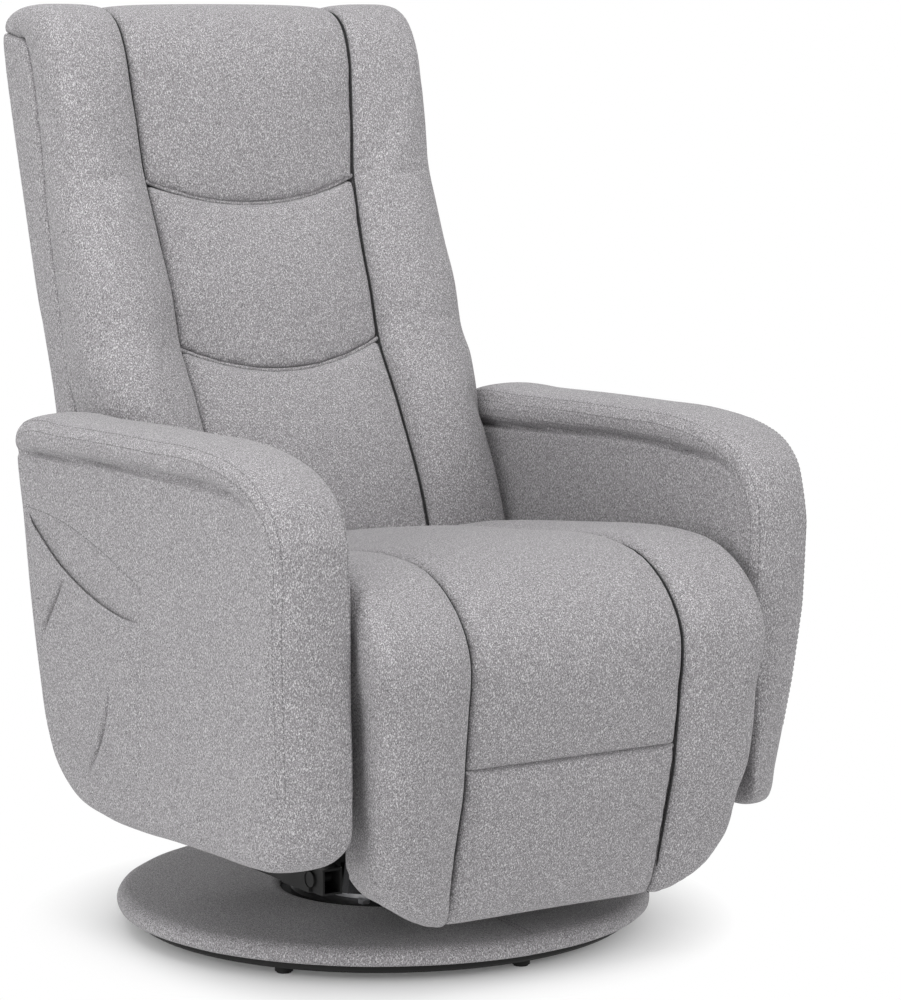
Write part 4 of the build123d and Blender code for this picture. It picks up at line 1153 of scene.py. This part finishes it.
# ----- the side pocket
POCKET_RIM = ((212, 497), (170, 470), (126, 445), (75, 425), (20, 410), (-30, 402), (-79, 399))
POCKET_FOOT = ((184, 318), (166, 262), (138, 216), (104, 197), (34, 188), (-30, 187), (-79, 190))
POCKET_LIFT = 4.0       # how far the cloth stands off the arm
POCKET_SINK = 2.6       # how far its sewn edges lie under the arm's surface
GATHERS = (
    ((111, 425), (134, 396), (164, 357)),
    ((0, 312), (14, 268), (44, 226), (64, 204)),
)
GATHER_DEPTH = 7.5
GATHER_LIP = 2.8        # how far the cloth above a gather hangs over it
POCKET_SEAM = ((214, 500), (165, 498), (109, 491), (50, 478), (2, 464), (-40, 450), (-76, 437))


def cloth_wall(piece, thickness):
    """Give a sheet its thickness inwards."""
    wall = piece.modifiers.new("cloth_thickness", "SOLIDIFY")
    wall.thickness = thickness * MM
    wall.offset = -1.0


def pocket_sheet():
    """The pocket's cloth from its rim down: it stands off the arm and sinks into it at its seams.

    A gather is a bell-shaped fold across its line between two low swells, and its upper edge is
    pushed over it by another bell.
    """
    rows, columns = 140, 170
    down = np.linspace(0, 1, rows)
    share = down[:, None, None]
    rim = smooth_curve(POCKET_RIM, columns)
    foot = smooth_curve(POCKET_FOOT, columns)
    points = (rim[None] * (1 - share) + foot[None] * share).reshape(-1, 2)
    v, u = np.meshgrid(down, np.linspace(0, 1, columns), indexing="ij")
    free = (ease(u, 0.0, 0.10) * ease(1 - u, 0.0, 0.16) * ease(1 - v, 0.0, 0.4)).ravel()
    lift = POCKET_LIFT * free - POCKET_SINK * (1 - ease(free, 0.0, 0.25))
    folds = np.zeros(len(points))
    index = np.arange(len(points))
    for line in GATHERS:
        path = smooth_curve(line, 80)
        across = outward(path)
        away = points[:, None] - path[None]
        at = (away ** 2).sum(axis=2).argmin(axis=1)
        gap = (away[index, at] * across[at]).sum(axis=1)
        ends = np.sin(np.pi * np.clip(at / (len(path) - 1), 0.02, 0.98)) ** 0.5
        beyond = np.linalg.norm(away[index, at], axis=1) - np.abs(gap)
        ends = ends * (1.0 - ease(beyond, 0.0, 6.0))
        swells = 3.2 * bell(gap, 5.0, 3.2) + 1.5 * bell(gap, -8.0, 4.0)
        folds += (GATHER_DEPTH * bell(gap, 0.0, 1.8) - swells) * ends
        points = points - across[at] * (GATHER_LIP * bell(gap, 2.6, 1.9) * ends)[:, None]
    x = -(ARM_OUT + lift - folds * free ** 0.4)
    piece = mesh_piece("right_side_pocket", np.column_stack([x, points]), grid_faces(rows, columns))
    cloth_wall(piece, 1.6)
    return piece


pocket = pocket_sheet()
finish(pocket, HEATHER)
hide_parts("right_arm_pocket")
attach(pocket, "chassis")

# ----- seams
def laid_on(piece, path, lift):
    """Each point of a path moved to the nearest place on the piece and lifted off it."""
    laid = []
    for near in placed(path):
        _, spot, normal, _ = piece.closest_point_on_mesh(Vector(near))
        laid.append(((spot + normal * lift * MM) / MM)[:])
    laid = np.array(laid)
    laid[:, 1] -= AXIS_Y / MM
    return laid


STITCH_LENGTH = 4.2
STITCH_PITCH = 6.4
STITCH_RADIUS = 0.42
STITCH_SIDES = 6
# Shares of a stitch's length and radius: it is pointed at both ends.
STITCH_STEPS = np.array([0.0, 0.15, 0.85, 1.0])
STITCH_GIRTH = np.array([0.25, 1.0, 1.0, 0.25])


def stitches(name, path):
    """A row of short straight stitches along a path: cords with pointed ends, one to a pitch."""
    run = run_of(path)
    starts = np.arange(0.0, run[-1] - STITCH_LENGTH, STITCH_PITCH)
    spots = read_off(starts[:, None] + STITCH_STEPS[None] * STITCH_LENGTH, run, path)
    ahead = spots[:, -1:] - spots[:, :1]
    ahead = ahead / np.linalg.norm(ahead, axis=2, keepdims=True)
    girth = STITCH_RADIUS * STITCH_GIRTH
    rings = rings_round(spots, ahead, [[[0.31, 0.52, 0.79]]], girth, STITCH_SIDES)
    count = len(STITCH_STEPS)
    first = count * STITCH_SIDES * np.arange(len(starts))[:, None]
    ring = np.arange(STITCH_SIDES)
    quads = grid_faces(count, STITCH_SIDES, wrap=True)
    faces = (quads[None] + first[:, :, None]).reshape(-1, 4).tolist()
    for cap in (ring[::-1], ring + (count - 1) * STITCH_SIDES):
        faces += (cap[None] + first).tolist()
    return mesh_piece(name, rings.reshape(-1, 3), faces)


def sew(piece, material, *bodies):
    """Finish a seam's cord or thread."""
    finish(piece, material)
    carry(piece, bodies)


SEAM_DEPTH = 3.0        # of a thin dark cord under the edges of its valley
SEAM_CORD = 1.3         # its radius
FOLD_DEPTH = 5.5        # of a cross seam's thick fabric cord under the panels' face
FABRIC_CORD = 2.6


def valley_path(outline, facing, spread, side):
    """A valley's path a little under its panels' edges: across by spread(height), and in depth."""
    curve = smooth_curve(outline, 120)
    sunk = curve - outward(curve) * facing * SEAM_DEPTH
    return np.column_stack([side * spread(sunk[:, 1]) * np.ones(len(sunk)), sunk])


# Near-black cords in the valleys: dark thread, and painted shade of the valley and the gap under it.
for label, side in SIDES:
    path = valley_path(SEAT_VALLEY, -1.0, lambda z: SEAM_X, side)
    sew(tube(f"{label}_seat_seam", path, SEAM_CORD), SEAM_THREAD_AND_SHADE, "seat", "leg_rest")
    path = valley_path(BACK_VALLEY[:-3], 1.0, flare, side)
    sew(tube(f"{label}_back_seam", path, SEAM_CORD), SEAM_THREAD_AND_SHADE, "back")

across = np.linspace(-1.0, 1.0, 60)
back_line = smooth_curve(BACK_VALLEY[:14], 400)
for name, height in (("head_seam", HEAD_Z), ("waist_seam", WAIST_Z)):
    x = across * (flare(height) - 1.0)
    z = height - sag(x, height)
    y = np.interp(z, back_line[:, 1], back_line[:, 0]) + FOLD_DEPTH
    sew(tube(name, np.column_stack([x, y, z]), FABRIC_CORD), HEATHER, "back")
rest_line = smooth_curve(SEAT_VALLEY[9:], 200)[::-1]
x = across * (SEAM_X - 2.0)
z = np.full(len(x), REST_SEAM_Z)
y = np.interp(z, rest_line[:, 1], rest_line[:, 0]) + FOLD_DEPTH
sew(tube("leg_rest_seam", np.column_stack([x, y, z]), FABRIC_CORD), HEATHER, "leg_rest")


def laid_stitches(name, piece, x, line, lift, body):
    """A row of stitches along a side-view line, laid on a piece from x and lifted off it."""
    path = np.column_stack([np.full(len(line), x), line])
    sew(stitches(name, laid_on(piece, path, lift)), EDGE_STITCH, body)


top_edge = smooth_curve(ARM_SIDE[9::-1] + ((-367, 430), (-368, 340), (-368, 250)), 300)
for label, side in SIDES:
    for row, out, drop in (
        ("outer_upper", ARM_OUT - 7, -2.0), ("outer_lower", ARM_OUT, 9.0),
        ("inner_upper", ARM_IN + 7, -2.0), ("inner_lower", ARM_IN, 9.0),
    ):
        line = top_edge + outward(top_edge) * drop
        name = f"{label}_arm_{row}_stitches"
        laid_stitches(name, arms[label], side * out, line, 0.1, "chassis")
pocket_line = smooth_curve(POCKET_SEAM, 120)
laid_stitches("pocket_stitches", arms["right"], -ARM_OUT, pocket_line, 0.2, "chassis")

# ===== base
COVER_TOP = 46.0        # height of the cover's flat top
COVER_PROFILE = (
    (BASE_R - 7.0, 23.2), (BASE_R - 1.5, 25.0), (BASE_R, 30.0), (BASE_R - 0.6, 35.5),
    (BASE_R - 4.0, 41.0), (BASE_R - 10.0, 44.4), (BASE_R - 22.0, 45.6), (BASE_R - 60.0, COVER_TOP),
    (CORE_R + 20, COVER_TOP), (CORE_R + 5, 45.6), (CORE_R, 42.5), (CORE_R, 38.2),
)


def base_disc():
    """The padded cover of the base: a profile turned round the swivel axis.

    Its radius varies very slightly, by a product of two sines of the turn.
    """
    profile = smooth_curve(COVER_PROFILE, 64)
    turn = np.linspace(0, 2 * np.pi, 240, endpoint=False)
    ripple = 1.0 + 0.0016 * np.sin(turn * 17 + 1.3) * np.sin(turn * 5)
    radius = profile[:, :1] * ripple
    height = np.broadcast_to(profile[:, 1:], radius.shape)
    points = np.stack([radius * np.cos(turn), radius * np.sin(turn), height], axis=2)
    faces = grid_faces(len(profile), len(turn), wrap=True)
    piece = mesh_piece("base_fabric", points.reshape(-1, 3), faces)
    cloth_wall(piece, 2.0)
    return piece


base_cloth = base_disc()
finish(base_cloth, HEATHER)
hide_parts("base_cover")
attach(base_cloth, "base")
for shift in (-3.5, 3.5):
    path = np.linspace((18 + shift, -200, COVER_TOP), (4 + shift, -306, COVER_TOP), 60)
    sew(stitches("base_stitches", laid_on(base_cloth, path, 0.2)), EDGE_STITCH, "base")

# ===== stage
WHITE = Finish("studio_white")
bpy.ops.mesh.primitive_plane_add(size=30)
floor = bpy.context.object
floor.name = "studio_floor"
WHITE.done(base_color=(0.9, 0.9, 0.9), roughness=0.9, specular_ior_level=0.1)
# Further than about 0.43 m from its middle the floor glows white: painted light that wipes out the chair's shadow
# there. Nearer in, a tenth of the glow is mixed in and lightens the shadow that stays.
away = WHITE.node("ShaderNodeVectorMath", {"operation": "LENGTH"}, {
    0: WHITE.node("ShaderNodeTexCoord", {}, {}, output="Object")
}, output="Value")
glow = WHITE.node("ShaderNodeEmission", {}, {"Color": (1.0, 1.0, 1.0), "Strength": 1.0})
blended = WHITE.node("ShaderNodeMixShader", {}, {
    0: away.clamp(0.28, 0.43) * 0.9 + 0.1, 1: Socket(WHITE, WHITE.shader.outputs[0]), 2: glow
})
WHITE.links.new(blended.link, WHITE.nodes["Material Output"].inputs[0])
floor.data.materials.append(WHITE.material)


def lamp(name, place, aim, size, power):
    """A soft square lamp that shines from a place at a point."""
    light = bpy.data.lights.new(name, "AREA")
    light.shape = "SQUARE"
    light.size = size
    light.energy = power
    held = bpy.data.objects.new(name, light)
    held.location = place
    held.rotation_euler = (Vector(aim) - Vector(place)).to_track_quat("-Z", "Y").to_euler()
    bpy.context.scene.collection.objects.link(held)


AIM = (0.0, -0.05, 0.55)
lamp("overhead", (-0.8, -0.8, 3.8), AIM, 2.6, 103)
lamp("left_softbox", (-3.6, -1.2, 1.2), AIM, 2.2, 65)
lamp("front_fill", (1.6, -3.6, 1.6), AIM, 2.2, 44)
lamp("behind", (0.8, 3.2, 2.4), AIM, 2.2, 18)

world = bpy.data.worlds.new("studio")
world.use_nodes = True
bpy.context.scene.world = world
tree = world.node_tree
ambient = tree.nodes["Background"]
seen = tree.nodes.new("ShaderNodeBackground")
for light, strength in ((ambient, 0.5), (seen, 1.0)):
    light.inputs["Color"].default_value = (1.0, 1.0, 1.0, 1.0)
    light.inputs["Strength"].default_value = strength
path = tree.nodes.new("ShaderNodeLightPath")
either = tree.nodes.new("ShaderNodeMath")
either.operation = "MAXIMUM"
choose = tree.nodes.new("ShaderNodeMixShader")
for source, target in (
    (path.outputs["Is Camera Ray"], either.inputs[0]),
    (path.outputs["Is Glossy Ray"], either.inputs[1]),
    (either.outputs[0], choose.inputs[0]),
    (ambient.outputs[0], choose.inputs[1]),
    (seen.outputs[0], choose.inputs[2]),
    (choose.outputs[0], tree.nodes["World Output"].inputs[0]),
):
    tree.links.new(source, target)
CAMERA_PLACE = (-2.207, -3.5575, 1.072)
CAMERA_TURN = math.radians(-33.02)
CAMERA_DROP = math.radians(7.74)
camera = bpy.data.objects.new("camera", bpy.data.cameras.new("camera"))
camera.data.sensor_width = 36.0
camera.data.lens = 128.45
backward = Vector((
    math.sin(CAMERA_TURN) * math.cos(CAMERA_DROP),
    -math.cos(CAMERA_TURN) * math.cos(CAMERA_DROP),
    math.sin(CAMERA_DROP),
))
camera.location = CAMERA_PLACE
camera.rotation_mode = "QUATERNION"
camera.rotation_quaternion = (-backward).to_track_quat("-Z", "Y")
bpy.context.scene.collection.objects.link(camera)
bpy.context.scene.camera = camera
bpy.context.scene.view_settings.view_transform = "Standard"
